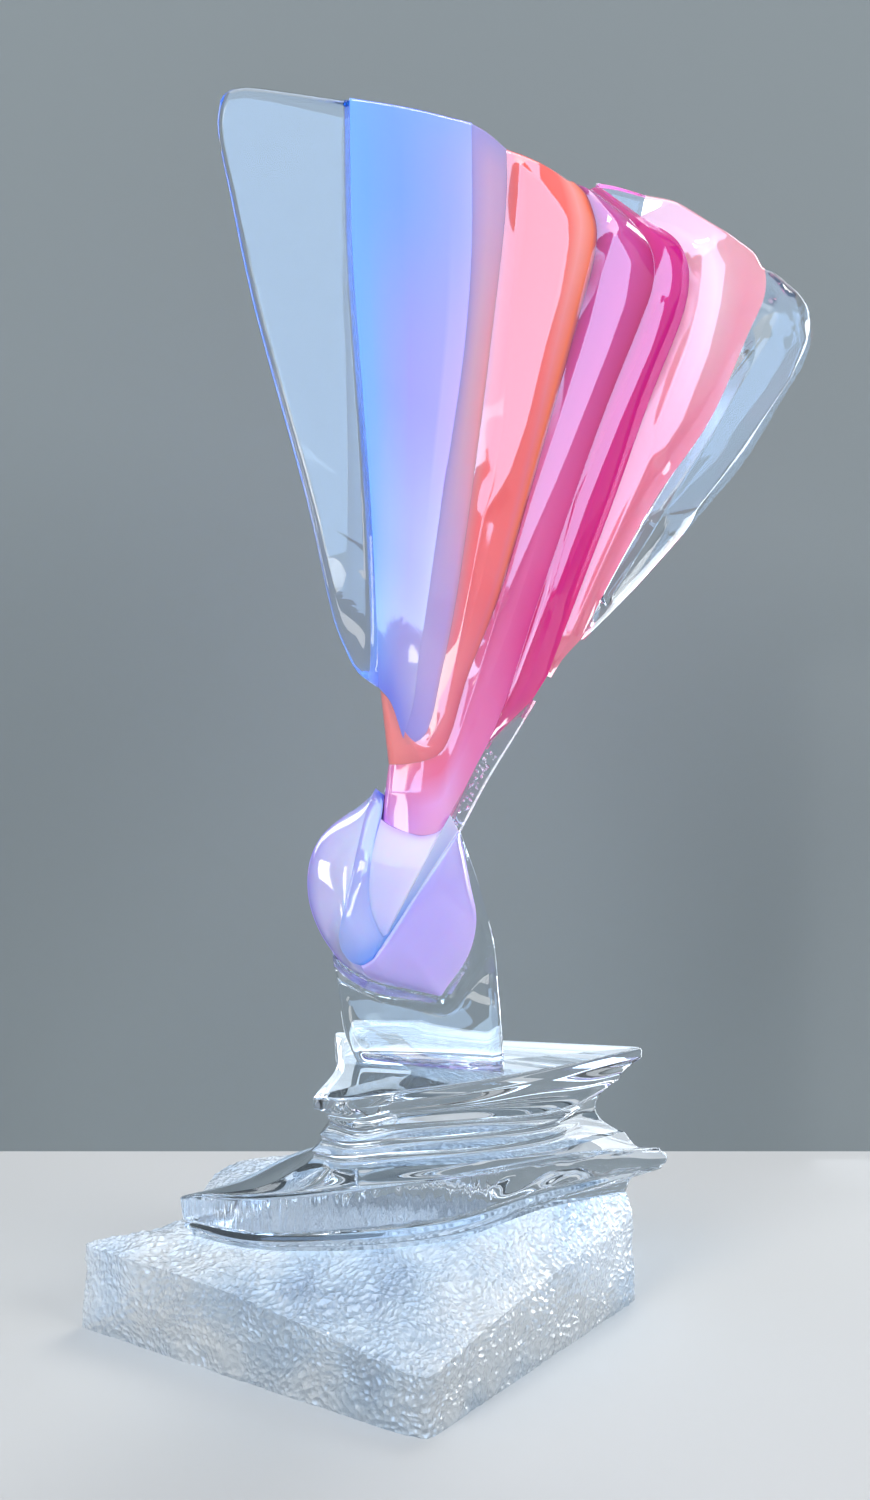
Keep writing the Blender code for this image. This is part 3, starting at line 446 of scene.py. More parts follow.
# Clear acrylic chopped with a tool and left rough: ice-like, white where the light catches it. The scales are
# 3 to 4 mm across with a fine grain on them.
def hammeredAcrylic(name):
    material, tree = newMaterial(name)
    surface = addNode(tree, "TexCoord").outputs["Object"]
    drift = addNode(tree, "TexNoise", {"Scale": 1000 / 30, "Detail": 1.0}, {"Vector": surface})
    sway = addNode(tree, "VectorMath", {"operation": "SCALE", "Scale": 0.02}, {0: drift.outputs["Color"]})
    bent = addNode(tree, "VectorMath", {"operation": "ADD"}, {0: surface, 1: sway})
    scales = addNode(tree, "TexVoronoi", {"Scale": 1000 / 3.4, "feature": "SMOOTH_F1", "Smoothness": 0.25},
                     {"Vector": bent})
    fine = addNode(tree, "TexNoise", {"Scale": 1000 / 1.0, "Detail": 3.0}, {"Vector": surface})
    grain = addNode(tree, "Bump", {"Strength": 1.0, "Distance": 0.0002}, {"Height": fine})
    bump = addNode(tree, "Bump", {"Strength": 1.0, "Distance": 0.0017},
                   {"Height": scales.outputs["Distance"], "Normal": grain})
    # painted shade under the shelf: the ice tones darken towards the middle of the patch
    narrowed = addNode(tree, "Mapping", {"Scale": shadedPatchUnderShelf["narrowed"]}, {"Vector": bent})
    away = addNode(tree, "VectorMath", {"operation": "DISTANCE", 1: shadedPatchUnderShelf["place"]}, {0: narrowed})
    paintedShadeUnderShelf = addNode(tree, "MapRange", {
        "From Min": shadedPatchUnderShelf["near"], "From Max": shadedPatchUnderShelf["far"], "To Min": shadedPatchUnderShelf["tone"],
    }, {"Value": away.outputs["Value"]})
    cloud = addNode(tree, "TexNoise", {"Scale": 1000 / 55, "Detail": 3.0}, {"Vector": surface})
    mottleAndPaintedShade = addNode(tree, "Math", {"operation": "MULTIPLY"}, {0: cloud, 1: paintedShadeUnderShelf})
    iceTones = {0.2: "#94aac6", 0.36: "#cfe2f4", 0.6: "#f4faff"}
    tone = addNode(tree, "ValToRGB", {"stops": iceTones}, {"Fac": mottleAndPaintedShade})
    shader = addNode(tree, "BsdfPrincipled", {
        "Roughness": 0.1, "IOR": acrylicIndex, "Transmission Weight": 0.5,
        "Coat Weight": 1.0, "Coat Roughness": 0.02,
    }, {"Base Color": tone, "Normal": bump, "Coat Normal": bump})
    letLampsThrough(tree, shader, "#9ba7b3")
    return material


# The fan: seams as the viewer sees them, (x, height above the waist), from the bottom up or from the left,
# then the depths of the front and of the back, spread evenly along them, all in tenths of a millimetre

waist = 0.2823
gap = 0.00004           # half of the glue line between two leaves
bite = 0.0002           # how far a dyed piece reaches into a clear one, as bonded acrylic shows no wall
leafRows = 170
leafColumns = 72
columnSway = 0.08
seamSteps = 80

fanSeams = {
    "outerLeft": ([(-327, 785), (-437, 873), (-502, 999), (-556, 1135), (-710, 1813), (-1008, 2914),
                   (-1124, 3465), (-1201, 3878), (-1184, 4021)],
                  [-60, -105, -110, -110, -110], [60, 10, -10, -10]),
    "clearBlue": ([(-306, 775), (-322, 1256), (-350, 1802), (-410, 2621), (-448, 3167), (-464, 4003)],
                  [-140, -160, -160, -160, -160], [120, 80, 50, 30]),
    "ridge": ([(-176, 502), (-121, 683), (-93, 900), (-44, 1226), (38, 1795), (157, 2609), (196, 3152),
               (196, 3847)], [-100, -185, -200, -208, -210, -210, -210], [140, 140, 100, 70]),
    "blueFoot": ([(-307, 770), (-247, 700), (-176, 502)], [-120, -100], [120, 140]),
    "lavenderFoot": ([(-176, 502), (-155, 458)], [-100, -90], [140, 140]),
    "lavenderCoral": ([(-155, 458), (-66, 502), (-17, 612), (22, 794), (116, 1262), (303, 2639), (392, 3471),
                       (392, 3761)], [-90, -110, -110, -90], [140, 150, 130, 100]),
    "coralFoot": ([(-261, 352), (-183, 353), (-66, 370)], [-60, -100], [100, 140]),
    "coralMagenta": ([(-66, 370), (28, 414), (83, 513), (177, 828), (348, 1264), (514, 1818), (793, 2815),
                      (885, 3160), (902, 3330), (880, 3440), (838, 3542), (750, 3627)],
                     [-100, -80, -40, 20], [140, 160, 180, 190]),
    "cup": ([(-300, 52), (-249, 16), (-154, -21), (-60, -37), (28, -10), (83, 77)],
            [-50, -110, -80], [100, 170, 150]),
    "magentaSeam": ([(83, 77), (194, 281), (354, 602), (577, 1268), (929, 2272), (1149, 2822), (1213, 2995),
                     (1232, 3123), (1213, 3254), (1098, 3425), (999, 3506), (866, 3611)],
                    [-80, -40, 20, 100], [150, 180, 230, 260]),
    "spineSeam": ([(90, 63), (190, 268), (302, 463), (544, 715)], [-40, 20], [140, 160]),
    "spineGap": ([(544, 715), (630, 850)], [20, 40], [160, 180]),
    "magentaPink": ([(630, 850), (794, 1279), (1010, 1845), (1215, 2413), (1416, 2927), (1448, 3097),
                     (1439, 3211), (1374, 3342), (1177, 3474)], [40, 80, 140, 180], [180, 240, 300, 320]),
    "wedgeSeam": ([(1177, 3474), (1014, 3585), (918, 3650)], [180, 160], [320, 280]),
    "wedgeEnd": ([(1177, 3474), (1212, 3624)], [180, 210], [320, 320]),
    "wedgeTip": ([(918, 3650), (925, 3672)], [160, 160], [280, 280]),
    "pinkFoot": ([(655, 842), (720, 945), (825, 1060)], [80, 100], [180, 220]),
    "pinkClear": ([(825, 1060), (942, 1290), (1260, 1866), (1581, 2331), (1806, 2834), (1896, 3035),
                   (1911, 3137), (1902, 3235)], [100, 170, 230, 270], [220, 320, 380, 400]),
    "outerRight": ([(852, 1060), (1091, 1295), (1613, 1879), (1804, 2110), (2053, 2515), (2152, 2678),
                    (2204, 2830), (2210, 2942)], [140, 240, 300, 330], [240, 360, 420, 450]),
    "spineOuter": ([(140, -37), (302, 266), (476, 547), (573, 705)], [0, 40], [120, 150]),
}

rims = {
    "clearLeft": [(-1184, 4021), (-1149, 4063), (-1080, 4088), (-1002, 4087), (-464, 4003)],
    "skyBlue": [(-464, 4003), (-136, 3938), (196, 3847)],
    "lavender": [(196, 3847), (296, 3815), (392, 3761)],
    "coral": [(392, 3761), (620, 3675), (750, 3627)],
    "wedge": [(925, 3672), (1030, 3662), (1212, 3624)],
    "pink": [(1212, 3624), (1379, 3578), (1610, 3440), (1745, 3364), (1847, 3305), (1902, 3235)],
    "clearRight": [(1902, 3235), (1963, 3210), (2076, 3109), (2166, 3020), (2210, 2942)],
}

bulbSeams = {
    "pocketLip": ([(-359, -840), (-510, -768), (-580, -707)], [-60, 20], [260, 200]),
    "bulbLeft": ([(-580, -707), (-643, -611), (-702, -468), (-721, -342), (-709, -201), (-659, -83),
                  (-585, 2), (-385, 145)], [20, 40, 40, 20], [200, 200, 180, 120]),
    "tongueLeft": ([(-400, -747), (-460, -729), (-514, -668), (-525, -585), (-486, -389), (-432, -138),
                    (-372, 119), (-329, 217)], [-150, -150, -130, -60], [300, 300, 240, 120]),
    "loopFoot": ([(-400, -747), (-334, -703)], [-150, -160], [300, 300]),
    "loopEnd": ([(-334, -703), (-285, -585)], [-160, -170], [300, 300]),
    "tongueInner": ([(-285, -585), (-312, -540), (-345, -457), (-360, -316), (-344, -138), (-300, 52)],
                    [-170, -170, -160, -80], [300, 280, 240, 120]),
    "blueTip": ([(-300, 52), (-283, 180)], [-80, -40], [120, 100]),
    "tongueRight": ([(-258, -570), (-170, -400), (83, 77)], [-170, -160, -110], [300, 240, 160]),
    "tongueOuter": ([(-334, -703), (-263, -600), (-11, -224), (131, -19)],
                    [-160, -130, -60], [300, 240, 150]),
    "bulbBottom": ([(-359, -840), (-293, -864), (-155, -894), (33, -940)], [-60, -20], [260, 240]),
    "bulbRight": ([(33, -940), (73, -878), (146, -781), (202, -671), (230, -510), (191, -294), (153, -96),
                   (140, -37)], [-20, 0, 20, 0], [240, 200, 180, 130]),
}
seams = {**fanSeams, **bulbSeams}


def tenths(values):
    return np.array(values, float) / 10000


# x, z, front depth and back depth along a seam.
def seamLine(name):
    points, *depths = [tenths(row) for row in seams[name]]
    shares = even(seamSteps)
    flat = smoothCurve(points, shares) + (0, waist)
    return np.column_stack([flat, *(smoothValues(row, shares) for row in depths)])


# Several seams end to end, at these shares of their whole length. A minus turns a seam round.
def edgeLine(names, shares):
    parts = [seamLine(name.strip("-"))[:: -1 if name.startswith("-") else 1] for name in names]
    return atShares(np.vstack([parts[0], *(part[1:] for part in parts[1:])]), shares)


# A flat edge with depths that run evenly from start's to end's.
def withDepths(flat, start, end):
    share = lengthShares(flat)[:, None]
    return np.hstack([flat, (1 - share) * start[2:] + share * end[2:]])


def rimLine(name, start, end, shares):
    return withDepths(smoothCurve(tenths(rims[name]), shares) + (0, waist), start, end)


# A grid between four edges. With a larger reach the top edge bends fewer rows.
def filledGrid(left, right, bottom, top, reach=1.0):
    rows = ((lengthShares(left) + lengthShares(right)) / 2)[:, None, None]
    across = ((lengthShares(bottom) + lengthShares(top)) / 2)[None, :, None]
    sides = (1 - across) * left[:, None] + across * right[:, None]
    along = across[0]
    bottomBow = bottom - ((1 - along) * bottom[0] + along * bottom[-1])
    topBow = top - ((1 - along) * top[0] + along * top[-1])
    return sides + (1 - rows) * bottomBow[None] + rows**reach * topBow[None]


# The grid's border moved out by a distance, or in by a negative one.
def grown(grid, distance):
    grid = grid.copy()
    for edge, inner in (((slice(None), 0), (slice(None), 1)), ((slice(None), -1), (slice(None), -2)),
                        ((0, slice(None)), (1, slice(None))), ((-1, slice(None)), (-2, slice(None)))):
        grid[edge][:, :2] -= distance * unit(grid[inner][:, :2] - grid[edge][:, :2])
    return grid


# How much of a leaf's front belongs to its raised flat: all of it inside the outline, none at both seams.
def flatShare(grid, relief):
    flat = grid[..., :2].reshape(-1, 2)
    outline, tail = [tenths(relief[name]) + (0, waist) for name in ("outline", "tail")]
    path = np.vstack([outline, outline[:1]])
    away = np.where(isInside(flat, outline), 0, distanceTo(flat, path))
    away = np.minimum(away, distanceTo(flat, tail))
    toSeam = np.minimum(distanceTo(flat, grid[:, 0, :2]), distanceTo(flat, grid[:, -1, :2]))
    share = (away / np.maximum(away + toSeam, 1e-9)).reshape(grid.shape[:2])
    soft = relief["softness"]
    fall = 1 - (np.sqrt(share**2 + soft**2) - soft) / (math.sqrt(1 + soft**2) - soft)
    return fall * smoothValues(relief["strength"], lengthShares(grid[:, 0]))[:, None]


# The plane of the flat: its depth at one point, and how far it turns to the right and leans back.
def flatDepth(grid, relief):
    x0, h0, depth = tenths(relief["point"])
    turn, lean = (math.tan(math.radians(relief[name])) for name in ("turn", "lean"))
    return depth + turn * (grid[..., 0] - x0) + lean * (grid[..., 1] - waist - h0)


def domed(grid, height):
    across = even(grid.shape[1] - 1)
    return np.broadcast_to(height * 4 * across * (1 - across), grid.shape[:2])


# Share of the thickness left at each point, with the free edges rounded off.
def leftAtEdges(grid, free, radius, land):
    flat = grid[..., :2].reshape(-1, 2)
    edges = {"left": grid[:, 0], "right": grid[:, -1], "bottom": grid[0], "top": grid[-1]}
    share = np.ones(grid.shape[:2])
    for side in free:
        edge = edges[side] if side in edges else seamLine(side)
        near = np.minimum(distanceTo(flat, edge[:, :2]) / radius, 1).reshape(share.shape)
        share *= np.sqrt(np.maximum(1 - (1 - near) ** 2, 0))
    return land + (1 - land) * share


# A closed skin over a grid's front and back depths, with the share across and along as its UV.
def gridSkin(grid, front, back):
    rows, columns = grid.shape[:2]
    x, z = grid[..., 0], grid[..., 1]
    points = np.vstack([np.stack([x, depth, z], axis=2).reshape(-1, 3) for depth in (front, back)])
    offset = rows * columns
    index = np.arange(offset).reshape(rows, columns)
    quads = np.stack([index[:-1, :-1], index[:-1, 1:], index[1:, 1:], index[1:, :-1]], axis=-1).reshape(-1, 4)
    faces = np.vstack([quads, offset + quads[:, ::-1]]).tolist()
    border = np.concatenate([index[0, :-1], index[:-1, -1], index[-1, :0:-1], index[:0:-1, 0]])
    faces += [(b, a, offset + a, offset + b) for a, b in zip(border.tolist(), np.roll(border, -1).tolist())]
    loop = grid[..., :2].reshape(-1, 2)[border]
    ahead = np.roll(loop, -1, axis=0)
    if np.sum(loop[:, 0] * ahead[:, 1] - ahead[:, 0] * loop[:, 1]) < 0:
        faces = [face[::-1] for face in faces]
    u, v = np.meshgrid(even(columns - 1), even(rows - 1))
    uv = np.column_stack([u.ravel(), v.ravel()])
    return points, faces, np.vstack([uv, uv])


# One piece between two seams: walls run straight back, front and back are curved and polished.
def buildLeaf(name, node, slot, material, left, right, bottom=None, top=None, free=("top",), relief=None,
              dome=0.0, radius=0.005, land=0.25, shape=None, rows=leafRows, columns=leafColumns, grow=-gap):
    rowShares, columnShares = swayed(rows), swayed(columns, columnSway)
    leftEdge, rightEdge = [
        edge if isinstance(edge, np.ndarray) else edgeLine(edge, rowShares) for edge in (left, right)]
    share = columnShares[:, None]
    low, high = [(1 - share) * leftEdge[end] + share * rightEdge[end] for end in (0, -1)]
    if bottom:
        low = edgeLine(bottom, columnShares)
    if isinstance(top, str):
        high = rimLine(top, leftEdge[-1], rightEdge[-1], columnShares)
    elif top is not None:
        high = withDepths(edgeLine(top, columnShares)[:, :2], leftEdge[-1], rightEdge[-1])
    grid = grown(filledGrid(leftEdge, rightEdge, low, high), grow)
    front = grid[..., 2] - domed(grid, dome)
    back = grid[..., 3] + domed(grid, dome) / 2
    if relief:
        share = flatShare(grid, relief)
        back = back + share * (front - flatDepth(grid, relief)) / 2
        front = (1 - share) * front + share * flatDepth(grid, relief)
    if shape is not None:
        front = front + shape(grid)
    middle, half = (front + back) / 2, (back - front) / 2
    half = half * leftAtEdges(grid, free, radius, land)
    points, faces, uv = gridSkin(grid, middle - half, middle + half)
    piece = addPiece(name, points, faces, material, uv)
    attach(piece, "root")
    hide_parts(node)


# Where each leaf's front is flat and shows the bright reflection, in tenths of a millimetre: the outline
# (x, height above the waist), the line on which the flat runs out, and a point of it with its depth. Turn and
# lean are in degrees.
coralRelief = {
    "outline": [(469, 3635), (442, 3160), (409, 2670), (382, 2233), (322, 1906), (267, 1715), (376, 1906),
                (496, 2233), (600, 2670), (682, 2942), (725, 3215), (720, 3351), (682, 3406), (600, 3515)],
    "tail": [(267, 1715), (150, 1100), (60, 640), (-60, 430), (-200, 400)],
    "strength": [0, 0.12, 0.4, 0.8, 1, 1, 1, 1, 1], "softness": 0.05,
    "point": (520, 2500, -125), "turn": 7, "lean": 0,
}
magentaFrontRelief = {
    "outline": [(1002, 3281), (925, 3077), (865, 2801), (683, 2251), (523, 1782), (353, 1215), (386, 1259),
                (606, 1782), (799, 2251), (953, 2636), (1052, 2911), (1085, 3132)],
    "tail": [(353, 1215), (230, 800), (110, 450), (0, 200), (-240, 200)],
    "strength": [0.1, 0.3, 0.65, 0.95, 1, 1, 1, 1, 1], "softness": 0.05,
    "point": (650, 2000, -85), "turn": 8, "lean": -1,
}
magentaRearRelief = {
    "outline": [(1251, 2951), (1162, 2684), (973, 2267), (790, 1823), (634, 1278), (656, 1267), (851, 1823),
                (1029, 2267), (1212, 2684), (1284, 2918)],
    "tail": [(634, 1278), (450, 800), (250, 400)],
    "strength": [0, 0.2, 0.6, 0.95, 1, 1, 1, 1, 1], "softness": 0.05,
    "point": (890, 2000, -15), "turn": 9, "lean": 0,
}
pinkRelief = {
    "outline": [(1520, 3224), (1492, 2965), (1436, 2740), (1267, 2290), (1210, 2076), (1284, 2121),
                (1396, 2290), (1548, 2684), (1616, 2965), (1644, 3179), (1593, 3275)],
    "tail": [(1210, 2076), (950, 1500), (760, 1080)],
    "strength": [0.2, 0.8, 1, 1, 1], "softness": 0.05,
    "point": (1400, 2500, 88), "turn": 9, "lean": 0,
}
clearRightRelief = {
    "outline": [(2057, 3042), (1935, 2799), (1750, 2516), (1589, 2233), (1433, 1990), (1288, 1754),
                (1473, 1788), (1629, 1990), (1831, 2274), (2034, 2557), (2126, 2799)],
    "tail": [(1288, 1754), (1000, 1300)],
    "strength": [0.3, 0.9, 1, 1, 1], "softness": 0.08,
    "point": (1860, 2600, 175), "turn": 8, "lean": 0,
}


clearPanel = {"strip": 0.0075, "step": 0.0022}


# The clear leaf lies a little back, and rises to the blue leaf over a strip along their seam.
def panelStep(grid):
    across = even(grid.shape[1] - 1)
    width = grid[:, -1, 0] - grid[:, 0, 0]
    fromSeam = (1 - across)[None] * width[:, None]
    return clearPanel["step"] * np.clip(fromSeam / clearPanel["strip"], 0, 1)


# Dyes as they look inside the leaf, with painted highlight and painted shade where noted: for each share of
# its height, a row of colours by share of its width
skyBlueLevels = {
    0: {0: "#6f7ee0", 0.6: "#7a7fe0", 1: "#8a84dc"},
    0.22: {0: "#6f9df0", 0.5: "#a5a0e4", 1: "#b6aee5"},
    0.36: {0: "#2f78ea", 0.33: "#7a86dc", 0.55: "#8f80d8", 1: "#b0a0e0"},
    0.52: {0: "#1f78f0", 0.2: "#3e74e6", 0.5: "#7656c6", 0.72: "#8462cc", 0.76: "#9a74da", 1: "#a878d8"},
    0.75: {0: "#0a70f4", 0.2: "#0a6af0", 0.45: "#305cec", 0.7: "#6866ea", 1: "#8878e6"},
    1: {0: "#0a72f6", 0.4: "#2a62f0", 1: "#7474e8"},
}
lavenderLevels = {
    0: {0: "#8a84dc", 1: "#a094e0"},
    0.3: {0: "#b2a4de", 0.7: "#b9a0dc", 1: "#c89ac0"},
    0.55: {0: "#9a90d4", 0.45: "#cfa4c0", 0.8: "#e59bac", 1: "#d88e98"},
    0.8: {0: "#9c94d8", 0.5: "#c5a4cf", 1: "#b89ac4"},
    1: {0: "#9a98e0", 1: "#a89cd0"},
}
# In the top row the pale stop at 0.74 is a painted highlight on the right flank. From half the height up, the
# dark plum at the right edge is painted shade in the valley at the magenta seam.
coralLevelsWithPaintedLight = {
    0: {0: "#f08a88", 1: "#ee8084"},
    0.25: {0: "#d88aa4", 0.5: "#e67c90", 1: "#d0607c"},
    0.5: {0: "#d48098", 0.12: "#dc7c84", 0.28: "#ee6a70", 0.66: "#ee6e74", 0.74: "#e47280", 0.88: "#ea7454",
          1: "#b84e68"},
    0.8: {0: "#d87888", 0.14: "#e06c70", 0.3: "#ee6460", 0.62: "#f06c68", 0.74: "#f49a98", 0.9: "#f0785a",
          1: "#a84a6c"},
}
# The dark plum at the left edge of the upper rows is painted shade on the flank, in the valley at the coral
# seam.
magentaFrontLevelsWithPaintedShade = {
    0: {0: "#e07cb8", 0.5: "#d88ad0", 1: "#cc8ae0"},
    0.08: {0: "#e87898", 0.4: "#dc80b8", 0.78: "#d493e4", 1: "#d89ae0"},
    0.18: {0: "#e06a8c", 0.3: "#e2709c", 0.57: "#e5a0e0", 1: "#e4a0d0"},
    0.3: {0: "#d46288", 0.45: "#df74ae", 1: "#e070b0"},
    0.42: {0: "#c85488", 0.5: "#da5c9c", 1: "#d83a8c"},
    0.7: {0: "#98306c", 0.3: "#c04496", 0.55: "#cc4c9c", 1: "#c02c74"},
    1: {0: "#902860", 0.5: "#b050a0", 1: "#a83880"},
}
magentaRearLevels = {
    0: {0: "#e478b4", 1: "#e878b0"},
    0.35: {0: "#c81868", 0.5: "#d42084", 1: "#e03c88"},
    0.75: {0: "#c02078", 0.5: "#cc2088", 1: "#c42084"},
    1: {0: "#a83074", 1: "#cc5098"},
}
pinkLevels = {
    0: {0: "#fc84a4", 1: "#fc8aa4"},
    0.45: {0: "#f8809f", 0.5: "#fe8cac", 1: "#fe90ac"},
    0.72: {0: "#f0a0b4", 0.45: "#f4c8d8", 0.75: "#fca8c0", 1: "#fcb0c4"},
    1: {0: "#dcb0bc", 0.4: "#f0b0c4", 1: "#fab4c4"},
}


def buildFan():
    clear = clearAcrylic("clear cast acrylic, leaves")
    buildLeaf("clearLeafLeft", "leaf_clear_left", "clear_acrylic", clear, ["outerLeft"], ["clearBlue"],
              top="clearLeft", free=("left", "top"), shape=panelStep, columns=64)
    buildLeaf("skyBlueLeaf", "leaf_sky_blue", "sky_blue_acrylic",
              dyedAcrylic("sky blue acrylic", skyBlueLevels), ["clearBlue"], ["ridge"],
              bottom=["blueFoot"], top="skyBlue", radius=0.003, grow=bite)
    buildLeaf("lavenderLeaf", "leaf_lavender", "lavender_acrylic",
              dyedAcrylic("lavender acrylic", lavenderLevels), ["ridge"], ["lavenderCoral"],
              bottom=["lavenderFoot"], top="lavender", columns=20, radius=0.003)
    coralLeft, coralRight = ["blueFoot", "lavenderFoot", "lavenderCoral"], ["coralFoot", "coralMagenta"]
    buildLeaf("coralLeaf", "leaf_coral", "coral_acrylic", dyedAcrylic("coral acrylic, with painted highlight and shade", coralLevelsWithPaintedLight),
              coralLeft, coralRight, top="coral", free=("bottom", "top"), relief=coralRelief, radius=0.004)
    buildLeaf("magentaLeafFront", "leaf_magenta_front", "magenta_acrylic",
              dyedAcrylic("magenta acrylic, front, with painted shade", magentaFrontLevelsWithPaintedShade), coralRight, ["cup", "magentaSeam"],
              free=("bottom", "top"), relief=magentaFrontRelief, radius=0.004)
    buildLeaf("magentaLeafRear", "leaf_magenta_rear", "magenta_acrylic",
              dyedAcrylic("magenta acrylic, rear", magentaRearLevels), ["magentaSeam"],
              ["spineSeam", "spineGap", "magentaPink", "wedgeSeam"], relief=magentaRearRelief, radius=0.003,
              grow=bite)
    buildLeaf("pinkLeaf", "leaf_pink", "pink_acrylic", dyedAcrylic("pink acrylic", pinkLevels, clarity=0.25),
              ["magentaPink", "wedgeEnd"], ["pinkFoot", "pinkClear"], top="pink", relief=pinkRelief,
              radius=0.004, grow=bite)
    buildLeaf("clearLeafRight", "leaf_clear_right", "clear_acrylic", clear, ["pinkClear"], ["outerRight"],
              top="clearRight", free=("right", "top"), relief=clearRightRelief, radius=0.005)
    buildLeaf("clearRimWedge", "rim_clear_wedge", "clear_acrylic", clear, ["wedgeTip"], ["wedgeEnd"],
              bottom=["-wedgeSeam"], top="wedge", radius=0.002, rows=20)
    buildLeaf("waistSpine", "waist_spine", "bubbled_acrylic", clear, ["spineSeam"], ["spineOuter"],
              free=("right",), radius=0.004, rows=60, columns=16)
    buildBubbles(clear)


bubbles = {
    "count": 90, "small": 0.00025, "large": 0.0011, "seed": 5, "rings": 6, "sides": 10, "steps": 100,
    "end": 0.55, "across": (0.1, 0.55), "deep": (0.1, 0.3),
}


# Air trapped along the glue line of the spine: small balls turned inside out, as they are air in acrylic.
def buildBubbles(material):
    random.seed(bubbles["seed"])
    rings, sides, steps = bubbles["rings"], bubbles["sides"], bubbles["steps"]
    inner, outer = edgeLine(["spineSeam"], even(steps)), edgeLine(["spineOuter"], even(steps))
    ball = []
    for i in range(rings + 1):
        for j in range(sides):
            fall, turn = math.pi * i / rings, math.tau * j / sides
            ball.append((math.sin(fall) * math.cos(turn), math.sin(fall) * math.sin(turn), math.cos(fall)))
    ball = np.array(ball)
    points, faces = [], []
    for _ in range(bubbles["count"]):
        along = int(steps * bubbles["end"] * random.random() ** 0.8)
        across, deep = [low + reach * random.random() for low, reach in (bubbles["across"], bubbles["deep"])]
        place = (1 - across) * inner[along] + across * outer[along]
        centre = np.array([place[0], (1 - deep) * place[2] + deep * place[3], place[1]])
        radius = bubbles["small"] + (bubbles["large"] - bubbles["small"]) * random.random() ** 3
        start = len(points) * len(ball)
        points.append(centre + radius * ball)
        for i in range(rings):
            for j in range(sides):
                a, b = start + i * sides + j, start + i * sides + (j + 1) % sides
                faces.append((a, b, b + sides, a + sides))
    piece = addPiece("spineBubbles", np.vstack(points), faces, material)
    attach(piece, "root")


violetLobeLevels = {
    0: {0: "#a294f4", 0.5: "#b8acfc", 1: "#b4b4fc"},
    0.6: {0: "#9c92ec", 0.35: "#ccc8fc", 1: "#d4d8ff"},
    1: {0: "#a0a4ea", 1: "#9cacee"},
}
violetDropLevels = {
    0: {0: "#c0b0ff", 1: "#d0c2ff"},
    0.5: {0: "#b4aafa", 0.5: "#beaefc", 1: "#ccbcff"},
    1: {0: "#c4c0ff", 1: "#c8bcff"},
}
tongueLevels = {
    0: {0: "#a4b4fc", 1: "#b8bcfc"},
    0.45: {0: "#c4c8fc", 0.5: "#d0ccfc", 1: "#f0e6ff"},
    0.8: {0: "#ccc4fa", 1: "#ecdcfc"},
    1: {0: "#c8b0f0", 0.5: "#d0a8ec", 1: "#dcc4f8"},
}
blueLobeLevels = {
    0: {0: "#6a94f8", 0.5: "#5a90f8", 1: "#488cf8"},
    0.12: {0: "#88a4fa", 1: "#78a0fa"},
    0.35: {0: "#a8b8fc", 0.6: "#b4bcfc", 1: "#a8b8fc"},
    0.8: {0: "#b0aaf0", 1: "#98a0ee"},
    1: {0: "#6c7ce8", 1: "#5c70e8"},
}
# The near-white stops from 0.9 of the width on are a painted highlight: a bright line along the band's outer
# edge.
blueBandLevelsWithPaintedHighlight = {
    0: {0: "#5490f8", 1: "#448cf8"},
    0.3: {0: "#9cb4fc", 0.7: "#6c9cf8", 0.82: "#6c9cf8", 0.9: "#e4e8ff"},
    0.6: {0: "#cccefc", 0.7: "#b0befc", 0.82: "#b0befc", 0.9: "#f6f6ff"},
    1: {0: "#e0d8fc", 0.8: "#d0ccfc", 0.9: "#f6f2ff"},
}


bulb = {"radius": 0.022, "land": 0.12, "bandFoot": 0.0003, "rows": 90}


def buildBulb():
    look = {"scatter": 0.3, "clarity": 0.1}
    rounded = {
        "free": ("bulbLeft",), "dome": 0.001, "radius": bulb["radius"], "land": bulb["land"], "grow": bite}
    rows = bulb["rows"]
    buildLeaf("bulbLeftLobe", "bulb_left_lobe", "violet_acrylic",
              dyedAcrylic("violet acrylic, lobe", violetLobeLevels, **look),
              ["pocketLip", "bulbLeft"], ["tongueLeft"], rows=rows, columns=44, **rounded)
    buildLeaf("bulbRightDrop", "bulb_right_drop", "violet_acrylic",
              dyedAcrylic("violet acrylic, drop", violetDropLevels, **look),
              ["loopFoot", "tongueOuter"], ["bulbBottom", "bulbRight"], free=(), dome=0.003, rows=rows,
              columns=44, grow=bite)
    buildLeaf("blueLobe", "stem_blue_lobe", "blue_acrylic",
              dyedAcrylic("blue acrylic, lobe", blueLobeLevels, **look),
              ["tongueLeft"], ["loopEnd", "tongueInner", "blueTip"], rows=rows, columns=24, **rounded)
    # the band's foot moves aside by a hair, so that it meets the loop's end in an edge and not in a point
    bandLeft = edgeLine(["loopEnd", "tongueRight"], swayed(rows))
    bandLeft[0, 0] -= bulb["bandFoot"]
    buildLeaf("blueBand", "stem_blue_band", "blue_acrylic",
              dyedAcrylic("blue acrylic, band, with painted highlight", blueBandLevelsWithPaintedHighlight, **look),
              bandLeft, ["tongueOuter"], free=(), dome=0.0005, rows=rows, columns=14)
    buildLeaf("tongue", "stem_tongue", "pale_lavender_acrylic",
              dyedAcrylic("pale lavender acrylic", tongueLevels, coat=0.1, specular=0.2, **look),
              ["tongueInner"], ["tongueRight"], top=["cup"], free=(), dome=0.001, rows=rows, columns=32)


